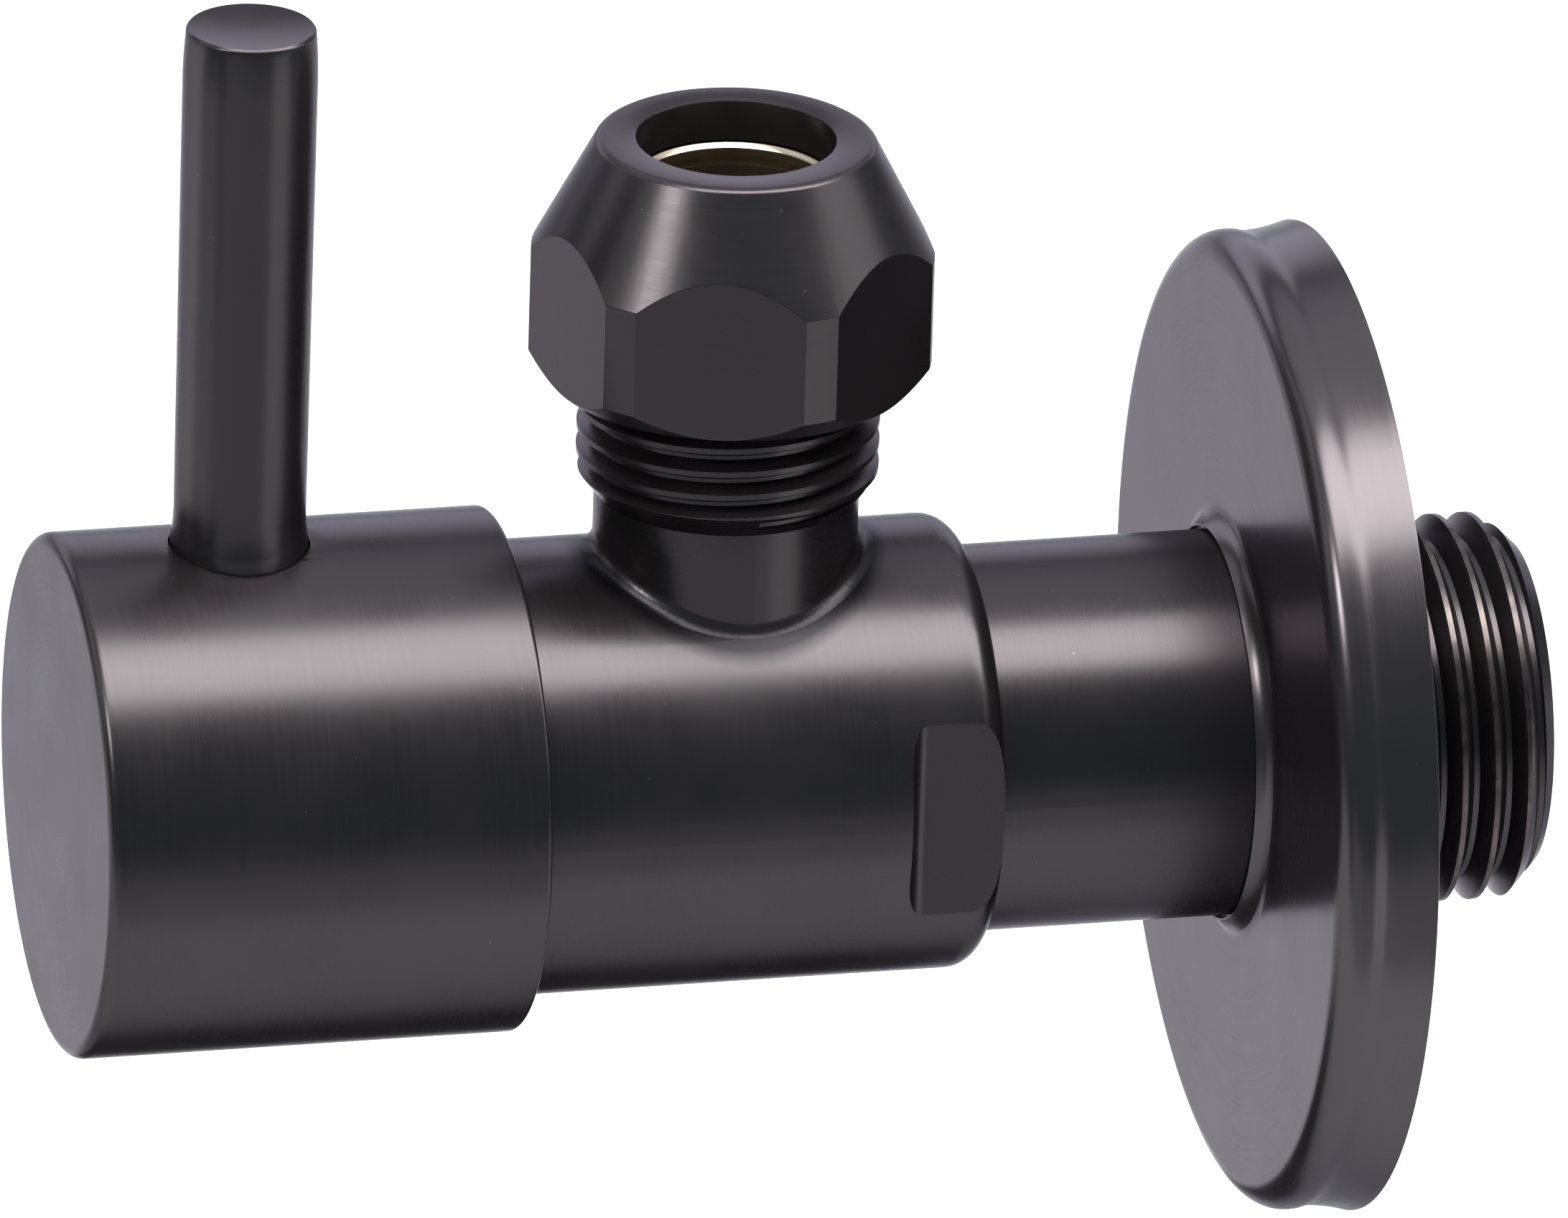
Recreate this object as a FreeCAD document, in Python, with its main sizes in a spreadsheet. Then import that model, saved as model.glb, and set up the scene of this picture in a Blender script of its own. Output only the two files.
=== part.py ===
import FreeCAD, Part
import math
import os
from types import SimpleNamespace

import Sketcher

# An angle stop valve: a short quarter-turn valve that stands out of a wall and turns the water
# up into a small riser tube. Millimetres, +Z up. The origin is on the inlet axis in the plane of
# the wall; +Y points into the wall, -Y towards the user. A "station" is a distance from the wall
# towards the user, so the point at station s lies at y = -s.

doc = FreeCAD.newDocument("AngleStopValve")

# --------------------------------------------------------------------------------------------
# Driving dimensions
# --------------------------------------------------------------------------------------------

DIMENSIONS = {
    # inlet: G 1/2 male thread, 14 turns to the inch, and the neck that it is cut on
    "inlet_crest_radius": 10.4775,
    "inlet_pitch": 1.8143,
    "inlet_thread_depth": 1.1617,
    "inlet_crest_flat": 0.30,
    "inlet_thread_end": 10.8,
    "inlet_thread_inset": 1.8,
    "inlet_end_chamfer": 1.6,
    "inlet_groove_phase": 0.06,
    "relief_radius": 9.2,
    "relief_width": 1.8,
    "waterway_radius": 6.0,
    "neck_radius": 10.45,
    # barrel
    "barrel_radius": 12.3,
    "barrel_rear_station": 20.1,
    "barrel_front_station": 47.5,
    "barrel_rear_round": 1.7,
    "barrel_front_chamfer": 0.4,
    "wrench_half_width": 11.0,
    "wrench_length": 5.4,
    "wrench_shoulder_round": 1.0,
    "seat_station": 24.0,
    "chamber_radius": 9.3,
    "headwork_bore_radius": 9.75,
    "headwork_bore_station": 38.5,
    # outlet: G 3/8 male thread, 19 turns to the inch, socket for a 10 mm tube
    "outlet_station": 33.4,
    "spigot_radius": 7.15,
    "spigot_blend": 0.9,
    "outlet_crest_radius": 8.17,
    "outlet_pitch": 1.337,
    "outlet_thread_depth": 0.80,
    "outlet_crest_flat": 0.30,
    "outlet_thread_start": 15.6,
    "outlet_runout": 1.3,
    "spigot_top": 29.0,
    "spigot_top_chamfer": 0.8,
    "outlet_bore_radius": 4.0,
    "tube_socket_radius": 5.15,
    "tube_socket_floor": 19.0,
    "olive_mouth_radius": 6.7,
    "olive_mouth_depth": 2.7,
    "thread_flank_angle": 27.5,
    "thread_overrun": 0.25,
    # compression nut, milled from a round blank
    "nut_bottom": 22.2,
    "nut_shoulder": 29.6,
    "nut_top": 35.75,
    "nut_radius": 10.95,
    "nut_half_flats": 9.85,
    "nut_turn_angle": -18.3,
    "nut_bottom_chamfer": 1.1,
    "nut_ring_radius": 7.48,
    "nut_rim_round": 0.3,
    "nut_hole_edge": 0.12,
    "nut_hole_radius": 5.37,
    "nut_hole_depth": 2.25,
    "nut_bore_radius": 8.35,
    "nut_bore_top": 29.5,
    # compression ring
    "ring_inner_radius": 5.05,
    "ring_outer_radius": 6.25,
    "ring_end_radius": 5.3,
    "ring_foot_radius": 5.4,
    "ring_bottom": 27.3,
    "ring_top": 33.4,
    "ring_upper_taper": 1.4,
    "ring_lower_taper": 1.9,
    "ring_bevel": 0.25,
    # escutcheon, spun from sheet
    "cover_sheet": 0.7,
    "cover_depth": 5.3,
    "cover_rear_radius": 26.87,
    "cover_waist_radius": 26.4,
    "cover_waist_station": 2.7,
    "cover_bulge_radius": 26.62,
    "cover_side_curve": 9.0,
    "cover_corner_round": 1.0,
    "cover_hole_radius": 10.62,
    "cover_collar_height": 0.9,
    "cover_collar_round": 0.32,
    # knob
    "knob_radius": 14.2,
    "knob_front_station": 70.0,
    "knob_rear_station": 45.75,
    "knob_front_round": 0.7,
    "knob_rear_chamfer": 0.3,
    "knob_skirt_radius": 12.65,
    "knob_skirt_floor": 57.5,
    "knob_bore_floor": 67.0,
    # lever
    "lever_station": 60.2,
    "lever_radius": 3.64,
    "lever_waist_radius": 3.57,
    "lever_foot_radius": 3.72,
    "lever_flare_above_knob": 0.2,
    "lever_flare_length": 1.6,
    "lever_flare_curve": 8.0,
    "lever_seat": 12.0,
    "lever_top": 43.85,
    "lever_crown_length": 3.0,
    "lever_crown_radius": 3.5,
    "lever_crown_curve": 36.0,
    "lever_edge": 0.12,
    "lever_dish_depth": 0.23,
    "lever_dish_flat": 0.4,
    "stud_radius": 2.5,
    "stud_length": 14.0,
    "set_screw_radius": 2.0,
    "set_screw_length": 6.0,
    "socket_key_half_width": 1.0,
    "socket_depth": 2.4,
    # spline adapter and stem
    "adapter_radius": 5.5,
    "adapter_rear_station": 57.7,
    "adapter_front_station": 66.9,
    "adapter_clearance": 0.02,
    "spline_radius": 4.0,
    "spline_depth": 0.35,
    "spline_count": 20,
    "stem_front_station": 66.4,
    "stem_journal_radius": 4.5,
    "stem_groove_radius": 3.3,
    "stem_groove_width": 1.8,
    "front_o_ring_station": 52.1,
    "rear_o_ring_station": 48.1,
    "o_ring_section": 0.6,
    "clip_groove_radius": 3.5,
    "clip_width": 0.8,
    "clip_radius": 5.8,
    "clip_gap": 2.4,
    "clip_play": 0.05,
    "stem_flange_radius": 6.4,
    "stem_flange_front": 42.3,
    "stem_flange_rear": 40.3,
    "tongue_half_width": 2.0,
    "tongue_half_length": 5.0,
    "tongue_end_station": 38.1,
    "stop_lug_radius": 8.1,
    "stop_lug_angle": 40.0,
    "quarter_turn": 90.0,
    # headwork
    "gland_thread_radius": 9.7,
    "gland_rear_station": 39.2,
    "gland_flange_radius": 11.5,
    "gland_flange_front": 49.5,
    "gland_hexagon_radius": 10.9,
    "gland_half_flats": 9.5,
    "gland_hexagon_front": 53.4,
    "gland_nose_radius": 7.0,
    "gland_nose_station": 56.0,
    "gland_bore_radius": 4.55,
    "gland_floor_station": 43.4,
    "gland_counterbore_radius": 6.75,
    "stop_channel_radius": 8.4,
    "stop_channel_play": 1.0,
    "stop_channel_clearance": 0.2,
    "gasket_thickness": 1.0,
    "gasket_inner_radius": 9.85,
    "gasket_outer_radius": 11.4,
    "thrust_washer_inner": 4.65,
    "thrust_washer_outer": 6.5,
    "thrust_washer_play": 0.05,
    # discs and their cage
    "cage_radius": 9.0,
    "cage_bore_radius": 7.65,
    "cage_rear_station": 24.6,
    "cage_lip_radius": 5.7,
    "cage_window_half_width": 3.6,
    "cage_window_front": 36.6,
    "cage_window_rear": 29.6,
    "disc_rear_station": 26.0,
    "fixed_disc_radius": 7.6,
    "fixed_disc_thickness": 3.0,
    "moving_disc_radius": 7.3,
    "moving_disc_thickness": 2.8,
    "disc_gap": 0.03,
    "port_radius": 5.2,
    "port_hub_radius": 1.6,
    "port_angle": 80.0,
    "wing_notch_angle": 84.0,
    "driver_radius": 7.2,
    "driver_front_station": 39.0,
    "driver_slot_play": 0.05,
    "seat_seal_inner": 4.3,
    "seat_seal_outer": 5.65,
}

sheet = doc.addObject("Spreadsheet::Sheet", "Dimensions")
for row, (alias, number) in enumerate(DIMENSIONS.items(), start=1):
    sheet.set(f"A{row}", alias)
    sheet.set(f"B{row}", str(number))
    sheet.setAlias(f"B{row}", alias)
doc.recompute()


class Size:
    """A dimension that knows its value now and the sheet formula that gives it."""

    def __init__(self, value, formula):
        self.value = float(value)
        self.formula = formula

    @staticmethod
    def of(item):
        return item if isinstance(item, Size) else Size(item, repr(float(item)))

    def joined(self, sign, other, value):
        return Size(value, f"({self.formula} {sign} {Size.of(other).formula})")

    def __add__(self, other):
        return self.joined("+", other, self.value + Size.of(other).value)

    def __sub__(self, other):
        return self.joined("-", other, self.value - Size.of(other).value)

    def __mul__(self, other):
        return self.joined("*", other, self.value * Size.of(other).value)

    def __truediv__(self, other):
        return self.joined("/", other, self.value / Size.of(other).value)

    def __neg__(self):
        return Size(-self.value, f"(0 - {self.formula})")

    def slope(self):
        """The tangent of this size, taken as an angle in degrees."""
        return Size(math.tan(math.radians(self.value)), f"tan({self.formula} * 1 deg)")


dim = SimpleNamespace(**{
    alias: Size(number, f"Dimensions.{alias}") for alias, number in DIMENSIONS.items()})
ZERO = Size.of(0)
REACH = Size.of(1)  # how far a cutting outline runs on outside the metal

# --------------------------------------------------------------------------------------------
# Sketches and features
# --------------------------------------------------------------------------------------------


def bind(feature, prop, size):
    """Set a property to a size and keep it tied to the sheet."""
    size = Size.of(size)
    setattr(feature, prop, size.value)
    feature.setExpression(prop, size.formula)


def new_body(label):
    body = doc.addObject("PartDesign::Body", label)
    body.Label = label
    return body


def new_feature(body, kind, name):
    """A feature that leaves faces as they were drawn, so the thread keeps its four quarters."""
    feature = body.newObject(kind, name)
    feature.Refine = False
    body.Tip = feature
    return feature


def new_sketch(body, role, name, offset=(0, 0, 0), turn=0):
    """A sketch on one of the body's own origin planes, moved and turned within that plane."""
    sketch = body.newObject("Sketcher::SketchObject", name)
    plane = next(item for item in body.Origin.OriginFeatures if item.Role == role)
    sketch.AttachmentSupport = [(plane, "")]
    sketch.MapMode = "FlatFace"
    offset = [Size.of(item) for item in offset]
    turn = Size.of(turn)
    sketch.AttachmentOffset = FreeCAD.Placement(
        FreeCAD.Vector(*[item.value for item in offset]),
        FreeCAD.Rotation(FreeCAD.Vector(0, 0, 1), turn.value))
    for letter, item in zip("xyz", offset):
        sketch.setExpression(f"AttachmentOffset.Base.{letter}", item.formula)
    sketch.setExpression("AttachmentOffset.Rotation.Angle", turn.formula + " * 1 deg")
    return sketch


def pin_coordinate(sketch, kind, axis_id, edge, end, size):
    """Hold one coordinate of one corner at a size, or on an axis where it is zero."""
    if size.value == 0:
        sketch.addConstraint(Sketcher.Constraint("PointOnObject", edge, end, axis_id))
        return
    index = sketch.addConstraint(Sketcher.Constraint(kind, -1, 1, edge, end, size.value))
    sketch.setExpression(f"Constraints[{index}]", size.formula)


def arc_middle(start, end, radius):
    """The middle of an arc between two corners; a positive radius bulges to the right."""
    chord = end - start
    half = chord.Length / 2
    rise = abs(radius) - math.sqrt(max(radius * radius - half * half, 0.0))
    right = FreeCAD.Vector(chord.y, -chord.x, 0).normalize()
    return (start + end) * 0.5 + right * math.copysign(rise, radius)


def draw_outline(sketch, corners):
    """A closed outline. A corner is (x, y), or (x, y, radius) where an arc leaves it."""
    corners = [tuple(Size.of(item) for item in corner) for corner in corners]
    places = [FreeCAD.Vector(corner[0].value, corner[1].value, 0) for corner in corners]
    ends = []
    for index, corner in enumerate(corners):
        start, end = places[index], places[(index + 1) % len(places)]
        if len(corner) == 2:
            edge = sketch.addGeometry(Part.LineSegment(start, end), False)
            ends.append((edge, 1, 2))
            continue
        middle = arc_middle(start, end, corner[2].value)
        if corner[2].value > 0:
            edge = sketch.addGeometry(Part.Arc(start, middle, end), False)
            ends.append((edge, 1, 2))
        else:
            edge = sketch.addGeometry(Part.Arc(end, middle, start), False)
            ends.append((edge, 2, 1))
    for index, corner in enumerate(corners):
        edge, first, last = ends[index]
        following, its_first, _ = ends[(index + 1) % len(ends)]
        sketch.addConstraint(Sketcher.Constraint("Coincident", edge, last, following, its_first))
        pin_coordinate(sketch, "DistanceX", -2, edge, first, corner[0])
        pin_coordinate(sketch, "DistanceY", -1, edge, first, corner[1])
        if len(corner) == 3:
            bend = sketch.addConstraint(
                Sketcher.Constraint("Radius", edge, abs(corner[2].value)))
            formula = corner[2].formula if corner[2].value > 0 else (-corner[2]).formula
            sketch.setExpression(f"Constraints[{bend}]", formula)


def outlet_plane(station):
    """The place of an upright sketch through a vertical axis at a station."""
    return {"role": "XZ_Plane", "offset": (0, 0, station)}


INLET_PLANE = {"role": "XY_Plane", "offset": (0, 0, 0)}


def turn_shape(body, kind, name, plane, corners, angle=360):
    """Revolve an outline of (radius, height) about the sketch's vertical axis."""
    sketch = new_sketch(body, plane["role"], name + "Outline", plane["offset"])
    draw_outline(sketch, corners)
    feature = new_feature(body, kind, name)
    feature.Profile = sketch
    feature.ReferenceAxis = (sketch, ["V_Axis"])
    feature.Angle = angle
    return feature


def add_turned(body, name, plane, corners, angle=360):
    return turn_shape(body, "PartDesign::Revolution", name, plane, corners, angle)


def cut_turned(body, name, plane, corners):
    """Cut a turned shape away, and make sure that it did cut something."""
    doc.recompute()
    before = body.Shape.Volume
    feature = turn_shape(body, "PartDesign::Groove", name, plane, corners)
    doc.recompute()
    require(body.Shape.Volume < before, f"{body.Label}: {name} cut nothing")
    return feature


def bore(radius, low, high):
    """The outline of a plain hole along the axis of a turned cut."""
    return [(ZERO, low), (radius, low), (radius, high), (ZERO, high)]


def rim_names(shape, rims):
    """The names of the full round edges with these (radius, centre) pairs."""
    names = []
    for number, edge in enumerate(shape.Edges, start=1):
        if not isinstance(edge.Curve, Part.Circle):
            continue
        for radius, centre in rims:
            near = edge.Curve.Center.distanceToPoint(centre) < 1e-3
            if near and abs(edge.Curve.Radius - radius.value) < 1e-3:
                names.append(f"Edge{number}")
    return names


def dress_edges(body, kind, name, prop, size, names):
    """Round or chamfer the named edges of the body as it stands."""
    require(names, f"{body.Label}: {name} found no edge")
    base = body.Tip
    feature = new_feature(body, kind, name)
    feature.Base = (base, names)
    bind(feature, prop, size)
    doc.recompute()


def round_rims(body, name, size, rims):
    doc.recompute()
    dress_edges(body, "PartDesign::Fillet", name, "Radius", size, rim_names(body.Shape, rims))


def chamfer_rims(body, name, size, rims):
    doc.recompute()
    dress_edges(body, "PartDesign::Chamfer", name, "Size", size, rim_names(body.Shape, rims))


def on_inlet_axis(station):
    return FreeCAD.Vector(0, -station.value, 0)


def on_riser_axis(station, height):
    return FreeCAD.Vector(0, -station.value, height.value)


def cut_straight(body, name, sketch, length, upward=False):
    """Pocket a drawn sketch over a length, and make sure that it did cut something."""
    doc.recompute()
    before = body.Shape.Volume
    feature = new_feature(body, "PartDesign::Pocket", name)
    feature.Profile = sketch
    bind(feature, "Length", length)
    feature.Reversed = upward
    doc.recompute()
    require(body.Shape.Volume < before, f"{body.Label}: {name} cut nothing")
    return feature


def repeat_round(body, name, feature, sketch, axis, count):
    """Repeat a feature about one of its sketch's axes."""
    pattern = new_feature(body, "PartDesign::PolarPattern", name)
    pattern.Originals = [feature]
    pattern.Axis = (sketch, [axis])
    pattern.Angle = 360
    count = Size.of(count)
    pattern.Occurrences = int(count.value)
    pattern.setExpression("Occurrences", count.formula)
    doc.recompute()


def rectangle(x_low, x_high, y_low, y_high):
    return [(x_low, y_low), (x_high, y_low), (x_high, y_high), (x_low, y_high)]


def cut_thread(body, name, plane, crest, depth, pitch, crest_flat, start, length):
    """Cut a right-hand thread groove with straight flanks that leaves a flat crest."""
    slope = dim.thread_flank_angle.slope()
    half_mouth = (pitch - crest_flat) / 2
    half_outer = half_mouth + dim.thread_overrun * slope
    half_root = half_mouth - depth * slope
    sketch = new_sketch(body, plane["role"], name + "Tooth", plane["offset"])
    draw_outline(sketch, [
        (crest - depth, start - half_root), (crest + dim.thread_overrun, start - half_outer),
        (crest + dim.thread_overrun, start + half_outer), (crest - depth, start + half_root)])
    feature = new_feature(body, "PartDesign::SubtractiveHelix", name)
    feature.Profile = sketch
    feature.ReferenceAxis = (sketch, ["V_Axis"])
    feature.Mode = 0
    bind(feature, "Pitch", pitch)
    bind(feature, "Height", length)
    feature.LeftHanded = False
    doc.recompute()


def require(condition, message):
    if not condition:
        raise RuntimeError(message)


def along_inlet(feature, station, turn=0):
    """Lay a primitive on the inlet axis, its own +Z along +Y, starting at a station."""
    lay_down = FreeCAD.Rotation(FreeCAD.Vector(1, 0, 0), -90)
    spin = FreeCAD.Rotation(FreeCAD.Vector(0, 1, 0), turn)
    feature.Placement = FreeCAD.Placement(on_inlet_axis(station), spin.multiply(lay_down))
    feature.setExpression("Placement.Base.y", (-station).formula)


def rod(name, radius, front, rear, angle=360, turn=0):
    """A plain cylinder on the inlet axis from a front station to a rear station."""
    feature = doc.addObject("Part::Cylinder", name)
    bind(feature, "Radius", radius)
    bind(feature, "Height", front - rear)
    bind(feature, "Angle", angle)
    along_inlet(feature, front, turn)
    return feature


def cut_pair(name, base, tool):
    feature = doc.addObject("Part::Cut", name)
    feature.Base = base
    feature.Tool = tool
    feature.Label = name
    return feature


def washer(name, inner, outer, front, rear):
    """A flat ring on the inlet axis."""
    return cut_pair(name, rod(name + "_blank", outer, front, rear),
                    rod(name + "_hole", inner, front + REACH, rear - REACH))


# --------------------------------------------------------------------------------------------
# Valve body: inlet thread, neck, barrel and outlet spigot in one piece
# --------------------------------------------------------------------------------------------

valve_body = new_body("valve_body")
thread_start = -dim.inlet_thread_inset
thread_blank = add_turned(valve_body, "InletBlank", INLET_PLANE, [
    (ZERO, thread_start), (dim.inlet_crest_radius, thread_start),
    (dim.inlet_crest_radius, dim.inlet_thread_end - dim.inlet_end_chamfer),
    (dim.inlet_crest_radius - dim.inlet_end_chamfer, dim.inlet_thread_end),
    (ZERO, dim.inlet_thread_end)], angle=90)
doc.recompute()
repeat_round(valve_body, "InletBlankQuarters", thread_blank, thread_blank.Profile[0], "V_Axis", 4)

relief_front = thread_start - dim.relief_width
add_turned(valve_body, "NeckAndBarrel", INLET_PLANE, [
    (ZERO, -dim.barrel_front_station), (dim.barrel_radius, -dim.barrel_front_station),
    (dim.barrel_radius, -dim.barrel_rear_station), (dim.neck_radius, -dim.barrel_rear_station),
    (dim.neck_radius, relief_front - dim.inlet_end_chamfer / 2),
    (dim.relief_radius, relief_front), (dim.relief_radius, thread_start),
    (ZERO, thread_start)])
round_rims(valve_body, "BarrelRearRound", dim.barrel_rear_round,
           [(dim.barrel_radius, on_inlet_axis(dim.barrel_rear_station))])
chamfer_rims(valve_body, "BarrelFrontChamfer", dim.barrel_front_chamfer,
             [(dim.barrel_radius, on_inlet_axis(dim.barrel_front_station))])

spigot_plane = outlet_plane(dim.outlet_station)
add_turned(valve_body, "Spigot", spigot_plane, [
    (ZERO, ZERO), (dim.spigot_radius, ZERO), (dim.spigot_radius, dim.outlet_thread_start),
    (dim.outlet_crest_radius, dim.outlet_thread_start + dim.outlet_runout),
    (dim.outlet_crest_radius, dim.spigot_top - dim.spigot_top_chamfer),
    (dim.outlet_crest_radius - dim.spigot_top_chamfer, dim.spigot_top), (ZERO, dim.spigot_top)])
doc.recompute()


def saddle_edges(shape):
    """The curved joint line where the spigot stands on the barrel."""
    names = []
    for number, edge in enumerate(shape.Edges, start=1):
        box = edge.BoundBox
        low = math.sqrt(dim.barrel_radius.value ** 2 - dim.spigot_radius.value ** 2)
        on_saddle = low - 0.05 < box.ZMin and box.ZMax < dim.barrel_radius.value + 0.05
        if on_saddle and box.YLength > 1 and box.XLength > 1:
            names.append(f"Edge{number}")
    return names


dress_edges(valve_body, "PartDesign::Fillet", "SpigotBlend", "Radius", dim.spigot_blend,
            saddle_edges(valve_body.Shape))

# flats for a wrench on both sides of the barrel's rear end
flat_front = -dim.barrel_rear_station - dim.wrench_length
flat_rear = REACH - dim.barrel_rear_station
flat_sketch = new_sketch(valve_body, "XY_Plane", "WrenchFlatOutline",
                         (0, 0, dim.barrel_radius))
draw_outline(flat_sketch, [
    (dim.wrench_half_width, flat_front + dim.wrench_shoulder_round, dim.wrench_shoulder_round),
    (dim.wrench_half_width + dim.wrench_shoulder_round, flat_front),
    (dim.barrel_radius + REACH, flat_front), (dim.barrel_radius + REACH, flat_rear),
    (dim.wrench_half_width, flat_rear)])
wrench_flat = cut_straight(valve_body, "WrenchFlat", flat_sketch, dim.barrel_radius * 2)
repeat_round(valve_body, "WrenchFlats", wrench_flat, thread_blank.Profile[0], "V_Axis", 2)

# threads: each groove starts in the relief or runout and leaves through the open end, and the
# inlet's phase leaves no sliver of a crest at either end
groove_start = thread_start - dim.inlet_pitch / 2 + dim.inlet_groove_phase
cut_thread(valve_body, "InletThread", INLET_PLANE, dim.inlet_crest_radius,
           dim.inlet_thread_depth, dim.inlet_pitch, dim.inlet_crest_flat,
           groove_start, dim.inlet_thread_end + dim.inlet_pitch - groove_start)
groove_start = dim.outlet_thread_start + dim.outlet_runout / 2
cut_thread(valve_body, "OutletThread", spigot_plane, dim.outlet_crest_radius,
           dim.outlet_thread_depth, dim.outlet_pitch, dim.outlet_crest_flat,
           groove_start, dim.spigot_top + dim.outlet_pitch - groove_start)

# waterway, disc chamber and the bore that the headwork screws into
cut_turned(valve_body, "Waterway", INLET_PLANE, [
    (ZERO, -dim.barrel_front_station - REACH),
    (dim.headwork_bore_radius, -dim.barrel_front_station - REACH),
    (dim.headwork_bore_radius, -dim.headwork_bore_station),
    (dim.chamber_radius, -dim.headwork_bore_station), (dim.chamber_radius, -dim.seat_station),
    (dim.waterway_radius, -dim.seat_station), (dim.waterway_radius, dim.inlet_thread_end + REACH),
    (ZERO, dim.inlet_thread_end + REACH)])
cut_turned(valve_body, "OutletBore", spigot_plane, [
    (ZERO, ZERO), (dim.outlet_bore_radius, ZERO),
    (dim.outlet_bore_radius, dim.tube_socket_floor), (dim.tube_socket_radius, dim.tube_socket_floor),
    (dim.tube_socket_radius, dim.spigot_top - dim.olive_mouth_depth),
    (dim.olive_mouth_radius, dim.spigot_top), (dim.olive_mouth_radius, dim.spigot_top + REACH),
    (ZERO, dim.spigot_top + REACH)])

# --------------------------------------------------------------------------------------------
# Escutcheon: a spun cover plate with a turned-out collar, sliding on the neck
# --------------------------------------------------------------------------------------------

escutcheon = new_body("escutcheon")
face = -dim.cover_depth
back_of_face = face + dim.cover_sheet
collar_front = face - dim.cover_collar_height
collar_radius = dim.cover_hole_radius + dim.cover_sheet
bulge_y = face + dim.cover_corner_round
inner_corner = dim.cover_corner_round - dim.cover_sheet
add_turned(escutcheon, "SpunSheet", INLET_PLANE, [
    (dim.cover_rear_radius, ZERO, -dim.cover_side_curve),
    (dim.cover_waist_radius, -dim.cover_waist_station, -dim.cover_side_curve),
    (dim.cover_bulge_radius, bulge_y, dim.cover_corner_round),
    (dim.cover_bulge_radius - dim.cover_corner_round, face),
    (collar_radius + dim.cover_collar_round, face, -dim.cover_collar_round),
    (collar_radius, face - dim.cover_collar_round),
    (collar_radius, collar_front + dim.cover_collar_round, dim.cover_collar_round),
    (collar_radius - dim.cover_collar_round, collar_front),
    (dim.cover_hole_radius, collar_front),
    (dim.cover_hole_radius, back_of_face - dim.cover_sheet, -dim.cover_sheet),
    (dim.cover_hole_radius + dim.cover_sheet, back_of_face),
    (dim.cover_bulge_radius - dim.cover_corner_round, back_of_face, -inner_corner),
    (dim.cover_bulge_radius - dim.cover_sheet, bulge_y),
    (dim.cover_waist_radius - dim.cover_sheet, -dim.cover_waist_station),
    (dim.cover_rear_radius - dim.cover_sheet, ZERO)])

# --------------------------------------------------------------------------------------------
# Compression nut and its ring
# --------------------------------------------------------------------------------------------

compression_nut = new_body("compression_nut")
add_turned(compression_nut, "NutBlank", spigot_plane, [
    (dim.nut_bore_radius, dim.nut_bottom), (dim.nut_radius - dim.nut_bottom_chamfer, dim.nut_bottom),
    (dim.nut_radius, dim.nut_bottom + dim.nut_bottom_chamfer), (dim.nut_radius, dim.nut_shoulder),
    (dim.nut_ring_radius, dim.nut_top), (dim.nut_hole_radius, dim.nut_top),
    (dim.nut_hole_radius, dim.nut_top - dim.nut_hole_depth),
    (dim.nut_bore_radius, dim.nut_bore_top)])
round_rims(compression_nut, "NutRimRound", dim.nut_rim_round,
           [(dim.nut_ring_radius, on_riser_axis(dim.outlet_station, dim.nut_top))])
chamfer_rims(compression_nut, "NutHoleEdge", dim.nut_hole_edge,
             [(dim.nut_hole_radius, on_riser_axis(dim.outlet_station, dim.nut_top))])
nut_flat_sketch = new_sketch(compression_nut, "XY_Plane", "NutFlatOutline",
                             (0, -dim.outlet_station, dim.nut_top + REACH), dim.nut_turn_angle)
draw_outline(nut_flat_sketch, rectangle(
    dim.nut_half_flats, dim.nut_radius + REACH, -dim.nut_half_flats, dim.nut_half_flats))
nut_flat = cut_straight(compression_nut, "NutFlat", nut_flat_sketch,
                        dim.nut_top - dim.nut_bottom + REACH * 2)
repeat_round(compression_nut, "NutFlats", nut_flat, nut_flat_sketch, "N_Axis", 6)

compression_ring = new_body("compression_ring")
add_turned(compression_ring, "TurnedRing", spigot_plane, [
    (dim.ring_inner_radius, dim.ring_bottom), (dim.ring_foot_radius, dim.ring_bottom),
    (dim.ring_outer_radius, dim.ring_bottom + dim.ring_lower_taper),
    (dim.ring_outer_radius, dim.ring_top - dim.ring_upper_taper),
    (dim.ring_end_radius, dim.ring_top),
    (dim.ring_inner_radius, dim.ring_top - dim.ring_bevel)])

# --------------------------------------------------------------------------------------------
# Knob, lever and their screws
# --------------------------------------------------------------------------------------------

knob = new_body("knob")
lever_plane = outlet_plane(dim.lever_station)
add_turned(knob, "KnobShell", INLET_PLANE, [
    (ZERO, -dim.knob_front_station), (dim.knob_radius, -dim.knob_front_station),
    (dim.knob_radius, -dim.knob_rear_station), (dim.knob_skirt_radius, -dim.knob_rear_station),
    (dim.knob_skirt_radius, -dim.knob_skirt_floor), (dim.adapter_radius, -dim.knob_skirt_floor),
    (dim.adapter_radius, -dim.knob_bore_floor), (ZERO, -dim.knob_bore_floor)])
round_rims(knob, "KnobFrontRound", dim.knob_front_round,
           [(dim.knob_radius, on_inlet_axis(dim.knob_front_station))])
chamfer_rims(knob, "KnobRearEdge", dim.knob_rear_chamfer,
             [(dim.knob_radius, on_inlet_axis(dim.knob_rear_station))])
cut_turned(knob, "LeverSeat", lever_plane,
           bore(dim.lever_foot_radius, dim.lever_seat, dim.knob_radius + REACH))
cut_turned(knob, "StudHole", lever_plane, bore(dim.stud_radius, ZERO, dim.lever_seat + REACH))
cut_turned(knob, "SetScrewHole", lever_plane,
           bore(dim.set_screw_radius, -dim.knob_radius - REACH, ZERO))

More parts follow.
